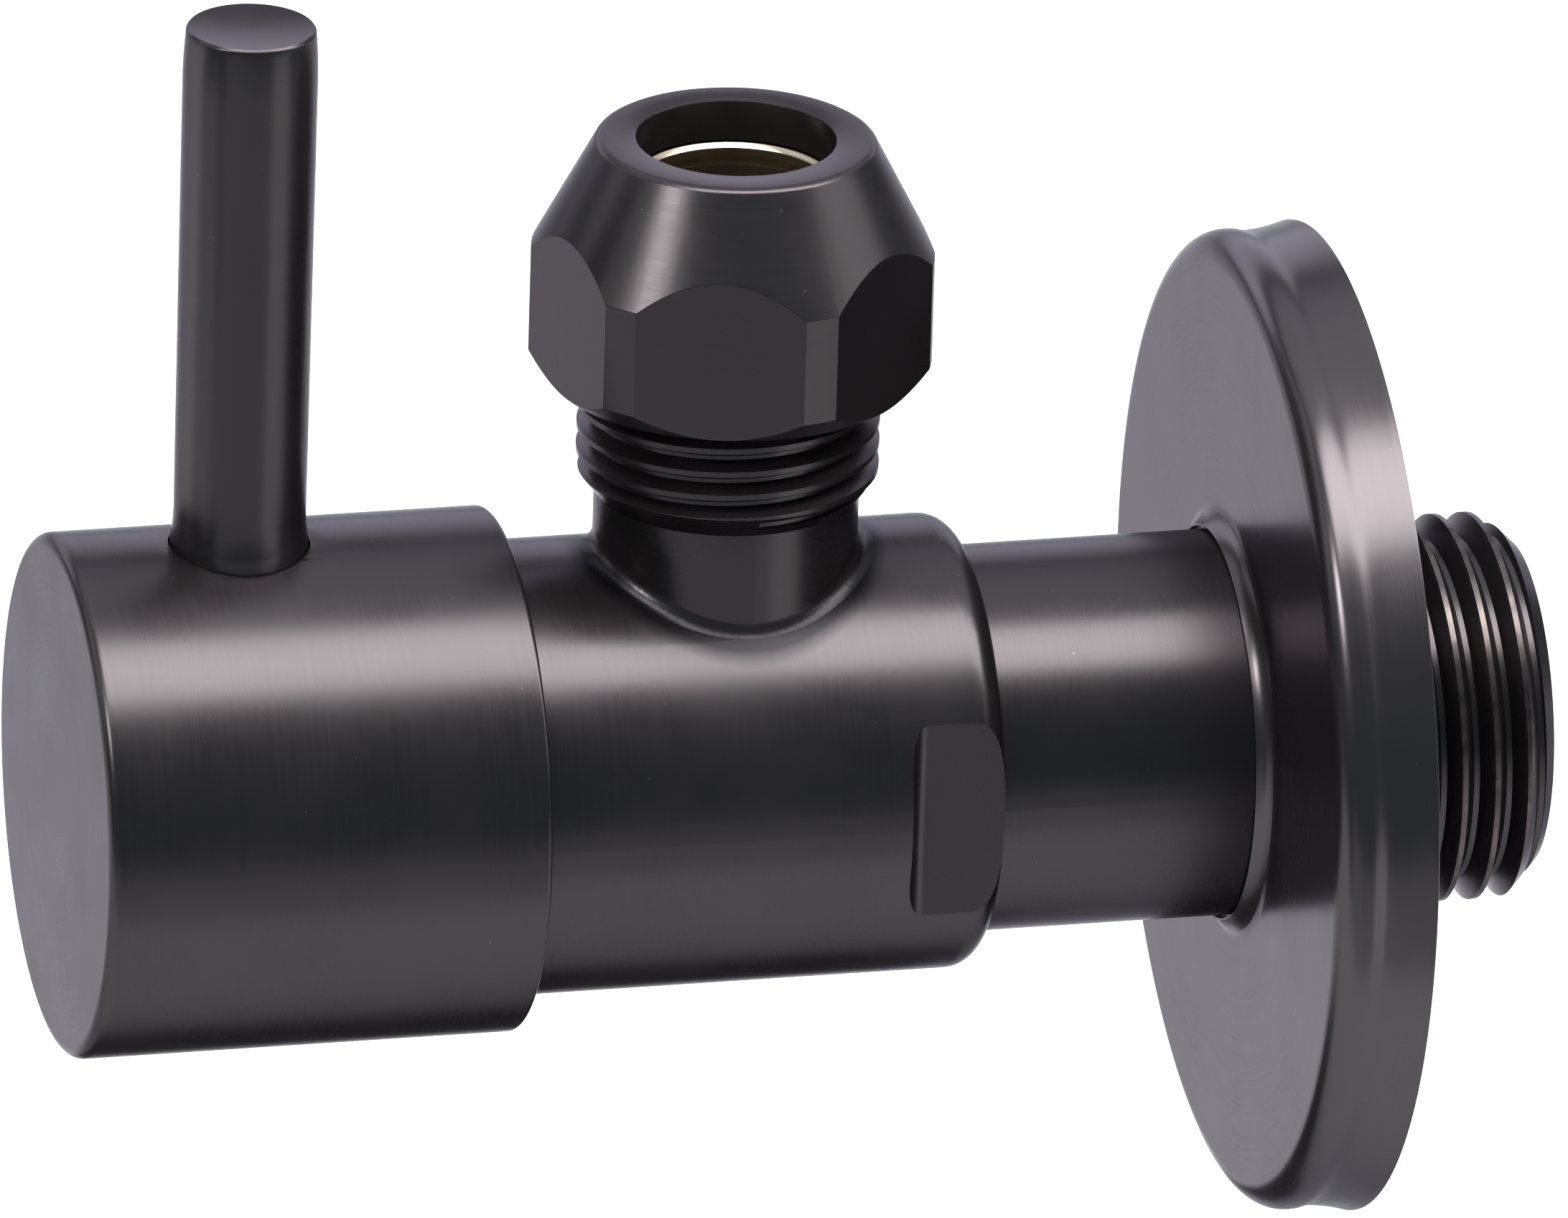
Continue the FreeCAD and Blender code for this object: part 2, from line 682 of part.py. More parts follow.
lever_pin = new_body("lever_pin")
lever_flare_start = dim.knob_radius + dim.lever_flare_above_knob
crown_start = dim.lever_top - dim.lever_crown_length
lever_rim = dim.lever_crown_radius - dim.lever_edge
dish_reach = lever_rim - dim.lever_dish_flat
dish_radius = (dish_reach * dish_reach + dim.lever_dish_depth * dim.lever_dish_depth) / (
    dim.lever_dish_depth * 2)
add_turned(lever_pin, "TurnedLever", lever_plane, [
    (ZERO, dim.lever_seat), (dim.lever_foot_radius, dim.lever_seat),
    (dim.lever_foot_radius, lever_flare_start, -dim.lever_flare_curve),
    (dim.lever_waist_radius, lever_flare_start + dim.lever_flare_length),
    (dim.lever_radius, crown_start, dim.lever_crown_curve),
    (dim.lever_crown_radius, dim.lever_top - dim.lever_edge),
    (lever_rim, dim.lever_top, -dish_radius),
    (dim.lever_dish_flat, dim.lever_top - dim.lever_dish_depth),
    (ZERO, dim.lever_top - dim.lever_dish_depth)])
cut_turned(lever_pin, "StudHole", lever_plane,
           bore(dim.stud_radius, dim.lever_seat - REACH, dim.adapter_radius + dim.stud_length))


def hexagon_socket(body, name, station, height, upward):
    """A blind hexagon socket on a vertical screw's axis, sunk from one of its ends."""
    sketch = new_sketch(body, "XY_Plane", name + "Outline", (0, -station, height))
    half = dim.socket_key_half_width
    corner = half * (2 / math.sqrt(3))
    draw_outline(sketch, [
        (corner, ZERO), (corner / 2, half), (-corner / 2, half),
        (-corner, ZERO), (-corner / 2, -half), (corner / 2, -half)])
    cut_straight(body, name, sketch, dim.socket_depth, upward)


lever_stud = new_body("lever_stud")
stud_top = dim.adapter_radius + dim.stud_length
add_turned(lever_stud, "StudBlank", lever_plane, bore(dim.stud_radius, dim.adapter_radius, stud_top))
hexagon_socket(lever_stud, "StudSocket", dim.lever_station, stud_top, upward=False)

knob_set_screw = new_body("knob_set_screw")
screw_tip = -dim.adapter_radius
screw_head = screw_tip - dim.set_screw_length
add_turned(knob_set_screw, "ScrewBlank", lever_plane,
           bore(dim.set_screw_radius, screw_head, screw_tip))
hexagon_socket(knob_set_screw, "ScrewSocket", dim.lever_station, screw_head, upward=True)

# --------------------------------------------------------------------------------------------
# Stem, the splined bush on it, and its rings
# --------------------------------------------------------------------------------------------

spline_adapter = new_body("spline_adapter")
adapter_bore = dim.spline_radius + dim.adapter_clearance
add_turned(spline_adapter, "TurnedBush", INLET_PLANE, [
    (adapter_bore, -dim.adapter_front_station), (dim.adapter_radius, -dim.adapter_front_station),
    (dim.adapter_radius, -dim.adapter_rear_station), (adapter_bore, -dim.adapter_rear_station)])

stem = new_body("stem")
clip_front = dim.gland_nose_station + dim.clip_width + dim.clip_play * 2


def groove_corners(station):
    """Four corners of an O-ring groove in the stem's journal, from front to rear."""
    front = -station - dim.stem_groove_width / 2
    rear = -station + dim.stem_groove_width / 2
    return [(dim.stem_journal_radius, front), (dim.stem_groove_radius, front),
            (dim.stem_groove_radius, rear), (dim.stem_journal_radius, rear)]


stem_end_chamfer = dim.spline_depth
add_turned(stem, "TurnedStem", INLET_PLANE, [
    (ZERO, -dim.stem_front_station),
    (dim.spline_radius - stem_end_chamfer, -dim.stem_front_station),
    (dim.spline_radius, stem_end_chamfer - dim.stem_front_station),
    (dim.spline_radius, -clip_front), (dim.clip_groove_radius, -clip_front),
    (dim.clip_groove_radius, -dim.gland_nose_station),
    (dim.stem_journal_radius, -dim.gland_nose_station),
    *groove_corners(dim.front_o_ring_station), *groove_corners(dim.rear_o_ring_station),
    (dim.stem_journal_radius, -dim.stem_flange_front),
    (dim.stem_flange_radius, -dim.stem_flange_front),
    (dim.stem_flange_radius, -dim.stem_flange_rear), (ZERO, -dim.stem_flange_rear)])
spline_sketch = new_sketch(stem, "XZ_Plane", "SplineOutline", (0, 0, dim.stem_front_station))
spline_root = dim.spline_radius - dim.spline_depth
spline_mouth = dim.spline_radius + dim.spline_depth / 4
spline_half = dim.spline_depth * 0.9
draw_outline(spline_sketch, [
    (spline_root, ZERO), (spline_mouth, -spline_half), (spline_mouth, spline_half)])
spline_length = dim.stem_front_station - clip_front
spline_groove = cut_straight(stem, "SplineGroove", spline_sketch, spline_length)
repeat_round(stem, "Spline", spline_groove, spline_sketch, "N_Axis", dim.spline_count)

tongue_sketch = new_sketch(stem, "XZ_Plane", "TongueOutline", (0, 0, dim.stem_flange_rear))
draw_outline(tongue_sketch, rectangle(
    -dim.tongue_half_width, dim.tongue_half_width, -dim.tongue_half_length, dim.tongue_half_length))
tongue = new_feature(stem, "PartDesign::Pad", "Tongue")
tongue.Profile = tongue_sketch
bind(tongue, "Length", dim.stem_flange_rear - dim.tongue_end_station)
tongue.Reversed = True
doc.recompute()


def sector_primitive(body, kind, name, radius, angle, front, rear, first_angle):
    """A sector on the inlet axis; angles run from +Z towards +X, seen by the user."""
    sector = new_feature(body, kind, name)
    bind(sector, "Radius", radius)
    bind(sector, "Height", front - rear)
    bind(sector, "Angle", angle)
    plane = next(item for item in body.Origin.OriginFeatures if item.Role == "XZ_Plane")
    sector.AttachmentSupport = [(plane, "")]
    sector.MapMode = "FlatFace"
    start = 90 - first_angle.value - angle.value
    sector.AttachmentOffset = FreeCAD.Placement(
        FreeCAD.Vector(0, 0, rear.value), FreeCAD.Rotation(FreeCAD.Vector(0, 0, 1), start))
    sector.setExpression("AttachmentOffset.Base.z", rear.formula)
    doc.recompute()


# a lug on the stem's flange runs in a channel of the gland nut and stops the quarter turn
LUG_CENTRE = Size.of(180)
sector_primitive(stem, "PartDesign::AdditiveCylinder", "StopLug", dim.stop_lug_radius,
                 dim.stop_lug_angle, dim.stem_flange_front, dim.stem_flange_rear,
                 LUG_CENTRE - dim.stop_lug_angle / 2)

stem_o_rings = doc.addObject("Part::Compound", "stem_o_rings")
stem_o_rings.Label = "stem_o_rings"
rings = []
for side, station in (("front", dim.front_o_ring_station), ("rear", dim.rear_o_ring_station)):
    ring = doc.addObject("Part::Torus", side + "_o_ring")
    bind(ring, "Radius1", (dim.stem_groove_radius + dim.gland_bore_radius) / 2)
    bind(ring, "Radius2", dim.o_ring_section)
    along_inlet(ring, station)
    rings.append(ring)
stem_o_rings.Links = rings

clip_blank = washer("stem_circlip_blank", dim.clip_groove_radius, dim.clip_radius,
                    clip_front - dim.clip_play, clip_front - dim.clip_play - dim.clip_width)
clip_slot = doc.addObject("Part::Box", "stem_circlip_gap")
bind(clip_slot, "Length", dim.clip_gap)
bind(clip_slot, "Width", dim.clip_width * 3)
bind(clip_slot, "Height", dim.clip_radius + REACH)
clip_slot.setExpression("Placement.Base.x", (-dim.clip_gap / 2).formula)
clip_slot.setExpression("Placement.Base.y", (-clip_front - dim.clip_width).formula)
clip_slot.setExpression("Placement.Base.z", (-dim.clip_radius - REACH).formula)
stem_circlip = cut_pair("stem_circlip", clip_blank, clip_slot)

# --------------------------------------------------------------------------------------------
# Headwork: gland nut, gasket and thrust washer
# --------------------------------------------------------------------------------------------

gland_nut = new_body("gland_nut")
gland_seat = dim.barrel_front_station + dim.gasket_thickness
add_turned(gland_nut, "TurnedGland", INLET_PLANE, [
    (dim.gland_bore_radius, -dim.gland_nose_station), (dim.gland_nose_radius, -dim.gland_nose_station),
    (dim.gland_nose_radius, -dim.gland_hexagon_front),
    (dim.gland_hexagon_radius, -dim.gland_hexagon_front),
    (dim.gland_hexagon_radius, -dim.gland_flange_front),
    (dim.gland_flange_radius, -dim.gland_flange_front), (dim.gland_flange_radius, -gland_seat),
    (dim.gland_thread_radius, -gland_seat), (dim.gland_thread_radius, -dim.gland_rear_station),
    (dim.gland_counterbore_radius, -dim.gland_rear_station),
    (dim.gland_counterbore_radius, -dim.gland_floor_station),
    (dim.gland_bore_radius, -dim.gland_floor_station)])
gland_flat_sketch = new_sketch(gland_nut, "XZ_Plane", "GlandFlatOutline",
                               (0, 0, dim.gland_hexagon_front))
draw_outline(gland_flat_sketch, rectangle(
    dim.gland_half_flats, dim.gland_flange_radius + REACH,
    -dim.gland_half_flats, dim.gland_half_flats))
gland_flat = cut_straight(gland_nut, "GlandFlat", gland_flat_sketch,
                          dim.gland_hexagon_front - dim.gland_flange_front)
repeat_round(gland_nut, "GlandFlats", gland_flat, gland_flat_sketch, "N_Axis", 6)
sector_primitive(gland_nut, "PartDesign::SubtractiveCylinder", "StopChannel",
                 dim.stop_channel_radius,
                 dim.quarter_turn + dim.stop_lug_angle + dim.stop_channel_play * 2,
                 dim.stem_flange_front + dim.stop_channel_clearance,
                 dim.gland_rear_station - REACH,
                 LUG_CENTRE - dim.stop_lug_angle / 2 - dim.stop_channel_play)

gland_gasket = washer("gland_gasket", dim.gasket_inner_radius, dim.gasket_outer_radius,
                      gland_seat, dim.barrel_front_station)
thrust_washer = washer("thrust_washer", dim.thrust_washer_inner, dim.thrust_washer_outer,
                       dim.gland_floor_station, dim.stem_flange_front + dim.thrust_washer_play)

# --------------------------------------------------------------------------------------------
# Disc cage, discs, driver and seat seal
# --------------------------------------------------------------------------------------------

disc_cage = new_body("disc_cage")
add_turned(disc_cage, "TurnedCage", INLET_PLANE, [
    (dim.cage_bore_radius, -dim.gland_rear_station), (dim.cage_radius, -dim.gland_rear_station),
    (dim.cage_radius, -dim.cage_rear_station), (dim.cage_lip_radius, -dim.cage_rear_station),
    (dim.cage_lip_radius, -dim.disc_rear_station), (dim.cage_bore_radius, -dim.disc_rear_station)])
window_sketch = new_sketch(disc_cage, "XY_Plane", "WindowOutline",
                           (0, 0, dim.cage_radius + REACH))
draw_outline(window_sketch, rectangle(
    -dim.cage_window_half_width, dim.cage_window_half_width,
    -dim.cage_window_front, -dim.cage_window_rear))
window = cut_straight(disc_cage, "Window", window_sketch, dim.cage_radius)
repeat_round(disc_cage, "Windows", window, window_sketch, "V_Axis", 4)


def sectors(name, radius, hub_radius, angle, front, rear, first_turn):
    """Two opposite sector-shaped openings with a hub left in the middle."""
    pair = doc.addObject("Part::MultiFuse", name)
    pair.Shapes = [rod(f"{name}_{number}", radius, front + REACH, rear - REACH, angle,
                       first_turn + 180 * number) for number in range(2)]
    hub = rod(name + "_hub", hub_radius, front + REACH * 2, rear - REACH * 2)
    return cut_pair(name + "_ring", pair, hub)


PORT_TURN = -(180 - dim.port_angle.value) / 2
NOTCH_TURN = -(180 - dim.wing_notch_angle.value) / 2
fixed_front = dim.disc_rear_station + dim.fixed_disc_thickness
fixed_disc = cut_pair(
    "fixed_disc", rod("fixed_disc_blank", dim.fixed_disc_radius, fixed_front, dim.disc_rear_station),
    sectors("fixed_disc_ports", dim.port_radius, dim.port_hub_radius, dim.port_angle,
            fixed_front, dim.disc_rear_station, PORT_TURN))
moving_rear = fixed_front + dim.disc_gap
moving_front = moving_rear + dim.moving_disc_thickness
moving_disc = cut_pair(
    "moving_disc", rod("moving_disc_blank", dim.moving_disc_radius, moving_front, moving_rear),
    sectors("moving_disc_notches", dim.moving_disc_radius + REACH, dim.port_hub_radius,
            dim.wing_notch_angle, moving_front, moving_rear, NOTCH_TURN))

disc_driver = new_body("disc_driver")
add_turned(disc_driver, "DriverBlank", INLET_PLANE,
           bore(dim.driver_radius, -dim.driver_front_station, -moving_front))
slot_sketch = new_sketch(disc_driver, "XZ_Plane", "SlotOutline", (0, 0, dim.driver_front_station))
slot_half_width = dim.tongue_half_width + dim.driver_slot_play
slot_half_length = dim.tongue_half_length + dim.driver_slot_play
draw_outline(slot_sketch, rectangle(
    -slot_half_width, slot_half_width, -slot_half_length, slot_half_length))
cut_straight(disc_driver, "TongueSlot", slot_sketch,
             dim.driver_front_station - dim.tongue_end_station + dim.driver_slot_play)

seat_seal = washer("seat_seal", dim.seat_seal_inner, dim.seat_seal_outer,
                   dim.disc_rear_station, dim.seat_station)

# --------------------------------------------------------------------------------------------
# Check and write every sub-part
# --------------------------------------------------------------------------------------------

SUB_PARTS = [
    valve_body, escutcheon, compression_nut, compression_ring, knob, lever_pin, lever_stud,
    knob_set_screw, spline_adapter, stem, stem_o_rings, stem_circlip, gland_nut, gland_gasket,
    thrust_washer, disc_cage, fixed_disc, moving_disc, disc_driver, seat_seal]

doc.recompute()
for item in doc.Objects:
    require("Invalid" not in item.State and "Error" not in item.State,
            f"{item.Name} is in state {item.State}")
os.makedirs("parts", exist_ok=True)
for sub_part in SUB_PARTS:
    shape = sub_part.Shape
    require(not shape.isNull() and shape.isValid(), f"{sub_part.Label} has no sound shape")
    shape.exportStep(f"parts/{sub_part.Label}.step")
    box = shape.BoundBox
    print(f"{sub_part.Label}: {len(shape.Solids)} solid, {shape.Volume:.1f} mm3, "
          f"x {box.XMin:.2f}..{box.XMax:.2f}, y {box.YMin:.2f}..{box.YMax:.2f}, "
          f"z {box.ZMin:.2f}..{box.ZMax:.2f}")
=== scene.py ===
# %% [markdown]
# # An angle stop valve in black gunmetal
# The valve stands out of a wall. Its knob turns a quarter turn, and its outlet points up at a thin
# riser tube. The sizes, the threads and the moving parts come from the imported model, which this
# lesson loads as a fixed frame. What is left to make here is how the valve looks: the turned and
# polished outer pieces, their edges, and their finishes.

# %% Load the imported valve
import math

import bmesh
import bpy
from mathutils import Matrix, Vector


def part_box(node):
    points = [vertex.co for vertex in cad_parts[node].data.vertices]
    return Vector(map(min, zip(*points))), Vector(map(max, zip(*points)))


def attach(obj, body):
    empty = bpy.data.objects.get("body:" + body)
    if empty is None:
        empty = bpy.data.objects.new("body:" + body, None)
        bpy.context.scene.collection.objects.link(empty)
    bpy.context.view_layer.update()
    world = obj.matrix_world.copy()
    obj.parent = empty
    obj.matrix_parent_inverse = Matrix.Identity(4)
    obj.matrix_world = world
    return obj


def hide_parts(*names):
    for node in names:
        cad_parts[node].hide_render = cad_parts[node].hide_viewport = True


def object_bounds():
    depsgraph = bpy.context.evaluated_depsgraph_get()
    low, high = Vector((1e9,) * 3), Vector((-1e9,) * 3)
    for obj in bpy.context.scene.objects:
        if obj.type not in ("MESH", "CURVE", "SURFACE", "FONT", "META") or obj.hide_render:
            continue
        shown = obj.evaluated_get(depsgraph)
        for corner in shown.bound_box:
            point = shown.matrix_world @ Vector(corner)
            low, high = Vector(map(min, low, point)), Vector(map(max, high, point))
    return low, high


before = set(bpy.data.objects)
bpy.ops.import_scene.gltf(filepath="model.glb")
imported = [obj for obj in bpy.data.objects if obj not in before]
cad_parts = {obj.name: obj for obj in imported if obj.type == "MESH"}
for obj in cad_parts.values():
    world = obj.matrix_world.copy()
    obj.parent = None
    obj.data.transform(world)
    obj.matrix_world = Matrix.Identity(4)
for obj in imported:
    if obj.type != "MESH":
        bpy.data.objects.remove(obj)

MM = 0.001
cad_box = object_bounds()
print("the valve is", [round(side / MM, 2) for side in cad_box[1] - cad_box[0]], "mm")

# %% [markdown]
# ## Where things are
# Two axes carry the whole valve. The inlet axis runs along Y through the origin, and the knob, the
# barrel and the cover are turned about it. The riser axis is upright, and the nut is turned about
# it. The lever has an upright axis of its own. Reading the places from the frame, rather than
# typing them, keeps every new piece on the part that it stands for.

# %% Read the axes and the boxes
ALONG_INLET = Vector((0, 1, 0))
UPRIGHT = Vector((0, 0, 1))


def middle_of(node):
    """The middle of a node's box."""
    low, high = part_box(node)
    return (low + high) / 2


inlet_foot = Vector((0, 0, 0))
riser_foot = Vector((0, middle_of("compression_nut").y, 0))
lever_foot = Vector((0, middle_of("lever_pin").y, 0))
print("riser axis at y", round(riser_foot.y / MM, 2), "lever axis at y", round(lever_foot.y / MM, 2))

# %% [markdown]
# ## The studio
# Polished dark metal shows little but what it mirrors, so the studio is built first, and the
# valve's own tones are chosen afterwards. All that isn't a lamp or a sheet of paper is dim blue
# air, which the darkest parts of the metal mirror. The plain view keeps white paper white, where
# a filmic one would turn it grey.

# %% Set the air and its view
AIR_COLOUR = (0.085, 0.13, 0.15, 1)
bpy.context.scene.view_settings.view_transform = "Standard"

world = bpy.data.worlds.new("studio_air")
bpy.context.scene.world = world
world.use_nodes = True
air = world.node_tree.nodes["Background"]
air.inputs["Color"].default_value = AIR_COLOUR
air.inputs["Strength"].default_value = 1.0
print("the air is", AIR_COLOUR[:3])

# %% [markdown]
# ## The floor and its cards
# White paper lies close under the valve and gives the dim, warmer band along the undersides. It
# could run out on all sides, but then the low front would mirror white too, so it stops short of
# the camera's side. A grey and a black card are painted shade: they stand for the valve's shadow
# on the floor under it, so the undersides mirror it darker. They lie too low to be in the picture
# from the camera, though they show from the side.

# %% Lay the floor and the cards
FLOOR_DROP = 0.03
FLOOR_SIDE = 8.0
FLOOR_FRONT = -0.055
PAPER_ROUGHNESS = 0.9
PAPER_GLOSS = 0.1
floor_height = cad_box[0].z - FLOOR_DROP


def lay_sheet(name, front, width, left, length, lift, tone):
    """A sheet of paper on the floor; front and left are the edges towards the camera and the knob."""
    bpy.ops.object.select_all(action="DESELECT")
    bpy.ops.mesh.primitive_plane_add(
        size=1, location=(front - width / 2, left + length / 2, floor_height + lift))
    sheet = bpy.context.object
    sheet.name = name
    sheet.scale = (width, length, 1)
    paper = bpy.data.materials.new(name)
    paper.use_nodes = True
    shader = paper.node_tree.nodes["Principled BSDF"]
    shader.inputs["Base Color"].default_value = (*tone, 1)
    shader.inputs["Roughness"].default_value = PAPER_ROUGHNESS
    shader.inputs["Specular IOR Level"].default_value = PAPER_GLOSS
    sheet.data.materials.append(paper)
    drop = cad_box[0].z - floor_height - lift
    print(f"{name}: {width:.3f} x {length:.3f} m, {round(drop / MM)} mm under the valve")


lay_sheet("white_paper", FLOOR_FRONT, FLOOR_SIDE, -FLOOR_SIDE / 2, FLOOR_SIDE, 0, (0.93, 0.925, 0.94))
# Painted shade: the grey and the black card stand for the valve's shadow on the floor under it.
lay_sheet("grey_shade_card", 0.09, 0.145, -0.33, 0.6, 0, (0.55, 0.55, 0.57))
lay_sheet("black_shadow_card", -0.004, 0.046, -0.078, 0.07, MM, (0.06, 0.06, 0.065))

# %% [markdown]
# ## The softboxes
# Lamps could be small, but a polished barrel would mirror them as dots, so each is a wide panel
# that glows evenly. A long one over the valve gives the bright band along its top, and two
# weaker, cooler ones behind it lift the upper edges. The side towards the camera stays dark on
# purpose: it draws the black stripe along the middle of every round part. The smaller ones at
# both ends and low in front are for the nut and the lever, whose upright walls mirror other
# directions than the barrel does.

# %% Hang the softboxes
COOL_WHITE = (0.86, 0.9, 1.0)
MIDDLE = (0, 0, 0)
OVER_BARREL = (0, -0.03, 0.03)


def softbox(name, place, target, width, length, radiance, colour=(1, 1, 1)):
    """A rectangular area light that faces a target and looks as bright as the radiance says."""
    lamp = bpy.data.lights.new(name, "AREA")
    lamp.shape = "RECTANGLE"
    lamp.size = width
    lamp.size_y = length
    lamp.color = colour
    lamp.energy = radiance * math.pi * width * length
    box = bpy.data.objects.new(name, lamp)
    bpy.context.scene.collection.objects.link(box)
    facing = (Vector(place) - Vector(target)).normalized()
    across = Vector((0, 1, 0)).cross(facing).normalized()
    turn = Matrix((across, facing.cross(across), facing)).transposed()
    box.matrix_world = Matrix.Translation(place) @ turn.to_4x4()
    print(f"{name}: {lamp.energy:.1f} W over {width:.2f} x {length:.2f} m")


softbox("top_softbox", (0.16, 0.1, 0.6), (0.06, 0.05, 0), 0.33, 1.1, 8.8)
softbox("upper_back_panel", (-0.5, 0.1, 0.87), MIDDLE, 0.74, 1.9, 0.95, COOL_WHITE)
softbox("low_back_panel", (-0.96, 0.1, 0.267), MIDDLE, 0.44, 1.9, 2.7, COOL_WHITE)
softbox("low_front_panel", (0.73, -0.18, -0.49), MIDDLE, 0.65, 1.6, 0.52)
softbox("front_right_panel", (0.62, 0.56, -0.34), MIDDLE, 0.5, 0.45, 1.15)
softbox("knob_end_fill", (-0.27, -0.78, 0.36), OVER_BARREL, 0.5, 0.5, 0.9)
softbox("knob_end_lamp", (0.27, -0.64, 0.44), OVER_BARREL, 0.16, 0.16, 23.0)
softbox("wall_end_panel", (0.21, 0.71, 0.32), OVER_BARREL, 0.5, 0.5, 1.8)

# %% [markdown]
# ## The camera
# It looks down at the valve from the right-hand side, with the knob on the left and the wall end on
# the right, through a very long lens: from far away the parallel edges of the barrel stay
# parallel. A slight roll tips the inlet axis down to the left.

# %% Place the camera
AZIMUTH = math.radians(76.285)
ELEVATION = math.radians(22.441)
ROLL = math.radians(-1.679)
DISTANCE = 2.5
SEEN_WIDTH = 0.084412
SENSOR_WIDTH = 36

looking = Vector((-math.sin(AZIMUTH) * math.cos(ELEVATION),
                  math.cos(AZIMUTH) * math.cos(ELEVATION), -math.sin(ELEVATION)))
level_right = Vector((math.cos(AZIMUTH), math.sin(AZIMUTH), 0))
level_up = level_right.cross(looking)
right = math.cos(ROLL) * level_right - math.sin(ROLL) * level_up
up = math.sin(ROLL) * level_right + math.cos(ROLL) * level_up
aim = Vector((0, -0.030005, 0.008192))

lens = bpy.data.cameras.new("camera")
camera = bpy.data.objects.new("camera", lens)
bpy.context.scene.collection.objects.link(camera)
camera.matrix_world = Matrix.Translation(aim - DISTANCE * looking) @ Matrix(
    (right, up, -looking)).transposed().to_4x4()
lens.sensor_width = SENSOR_WIDTH
lens.lens = DISTANCE / SEEN_WIDTH * SENSOR_WIDTH
lens.clip_start = 0.1
lens.clip_end = 20
bpy.context.scene.camera = camera
print("focal length", round(lens.lens), "mm")

# %% [markdown]
# ## Making a finish from nodes
# A lathe leaves fine lines that run round its axis, on the walls and on the faces alike. Noise that
# reads plain coordinates would lie across the piece like a film, so the pattern reads two lathe
# coordinates instead: how far a point is from the axis, and how far along the axis it lies.
# Stretching the noise tightly in those two and loosely round the piece draws turned lines.

# %% Write the helpers that the finishes share
AROUND_SHARE = 0.012
DOT_SOFTNESS = 0.6
CHOSEN_FROM = 0.80
CHOSEN_FULL = 0.82


def add_node(tree, kind, **values):
    """A node with some of its own settings given, such as operation or data_type."""
    node = tree.nodes.new(kind)
    for name, value in values.items():
        setattr(node, name, value)
    return node


def noise(tree, vector, scale, detail=3.0, roughness=0.5):
    """Soft noise between 0 and 1, with scale in lumps per metre."""
    node = add_node(tree, "ShaderNodeTexNoise")
    node.inputs["Scale"].default_value = scale
    node.inputs["Detail"].default_value = detail
    node.inputs["Roughness"].default_value = roughness
    tree.links.new(vector, node.inputs["Vector"])
    return node.outputs["Fac"]


def spread(tree, value, from_low, from_high, to_low, to_high):
    """Stretch a value from one range to another, clamped."""
    node = add_node(tree, "ShaderNodeMapRange")
    node.inputs["From Min"].default_value = from_low
    node.inputs["From Max"].default_value = from_high
    node.inputs["To Min"].default_value = to_low
    node.inputs["To Max"].default_value = to_high
    tree.links.new(value, node.inputs["Value"])
    return node.outputs["Result"]


def blend_colours(tree, factor, first, second):
    """A colour between two, each a tuple or another node's output."""
    node = add_node(tree, "ShaderNodeMix", data_type="RGBA")
    tree.links.new(factor, node.inputs["Factor"])
    for socket, colour in ((node.inputs[6], first), (node.inputs[7], second)):
        if isinstance(colour, tuple):
            socket.default_value = (*colour, 1)
        else:
            tree.links.new(colour, socket)
    return node.outputs[2]


def sum_up(tree, first, second, share):
    """first + second * share."""
    node = add_node(tree, "ShaderNodeMath", operation="MULTIPLY_ADD")
    tree.links.new(second, node.inputs[0])
    node.inputs[1].default_value = share
    tree.links.new(first, node.inputs[2])
    return node.outputs[0]


def multiply(tree, first, second):
    """first * second, which is 1 only where both are."""
    node = add_node(tree, "ShaderNodeMath", operation="MULTIPLY")
    tree.links.new(first, node.inputs[0])
    tree.links.new(second, node.inputs[1])
    return node.outputs[0]


def lathe_coordinates(tree, foot, axis):
    """Object coordinates, and (radius, height, a little of the angle) about an axis in metres."""
    place = add_node(tree, "ShaderNodeTexCoord").outputs["Object"]
    turn = add_node(tree, "ShaderNodeMapping", vector_type="TEXTURE")
    turn.inputs["Location"].default_value = foot
    turn.inputs["Rotation"].default_value = UPRIGHT.rotation_difference(axis).to_euler()
    tree.links.new(place, turn.inputs["Vector"])
    split = add_node(tree, "ShaderNodeSeparateXYZ")
    tree.links.new(turn.outputs[0], split.inputs[0])
    flat = add_node(tree, "ShaderNodeCombineXYZ")
    tree.links.new(split.outputs["X"], flat.inputs["X"])
    tree.links.new(split.outputs["Y"], flat.inputs["Y"])
    radius = add_node(tree, "ShaderNodeVectorMath", operation="LENGTH")
    tree.links.new(flat.outputs[0], radius.inputs[0])
    around = add_node(tree, "ShaderNodeMath", operation="MULTIPLY")
    tree.links.new(split.outputs["X"], around.inputs[0])
    around.inputs[1].default_value = AROUND_SHARE
    lathe = add_node(tree, "ShaderNodeCombineXYZ")
    tree.links.new(radius.outputs["Value"], lathe.inputs["X"])
    tree.links.new(split.outputs["Z"], lathe.inputs["Y"])
    tree.links.new(around.outputs[0], lathe.inputs["Z"])
    return place, lathe.outputs[0], radius.outputs["Value"], split.outputs["Z"]


def bump(tree, height, distance):
    """A normal that is tilted by a height, whose full range stands for the distance."""
    node = add_node(tree, "ShaderNodeBump")
    node.inputs["Strength"].default_value = 1.0
    node.inputs["Distance"].default_value = distance
    tree.links.new(height, node.inputs["Height"])
    return node.outputs["Normal"]


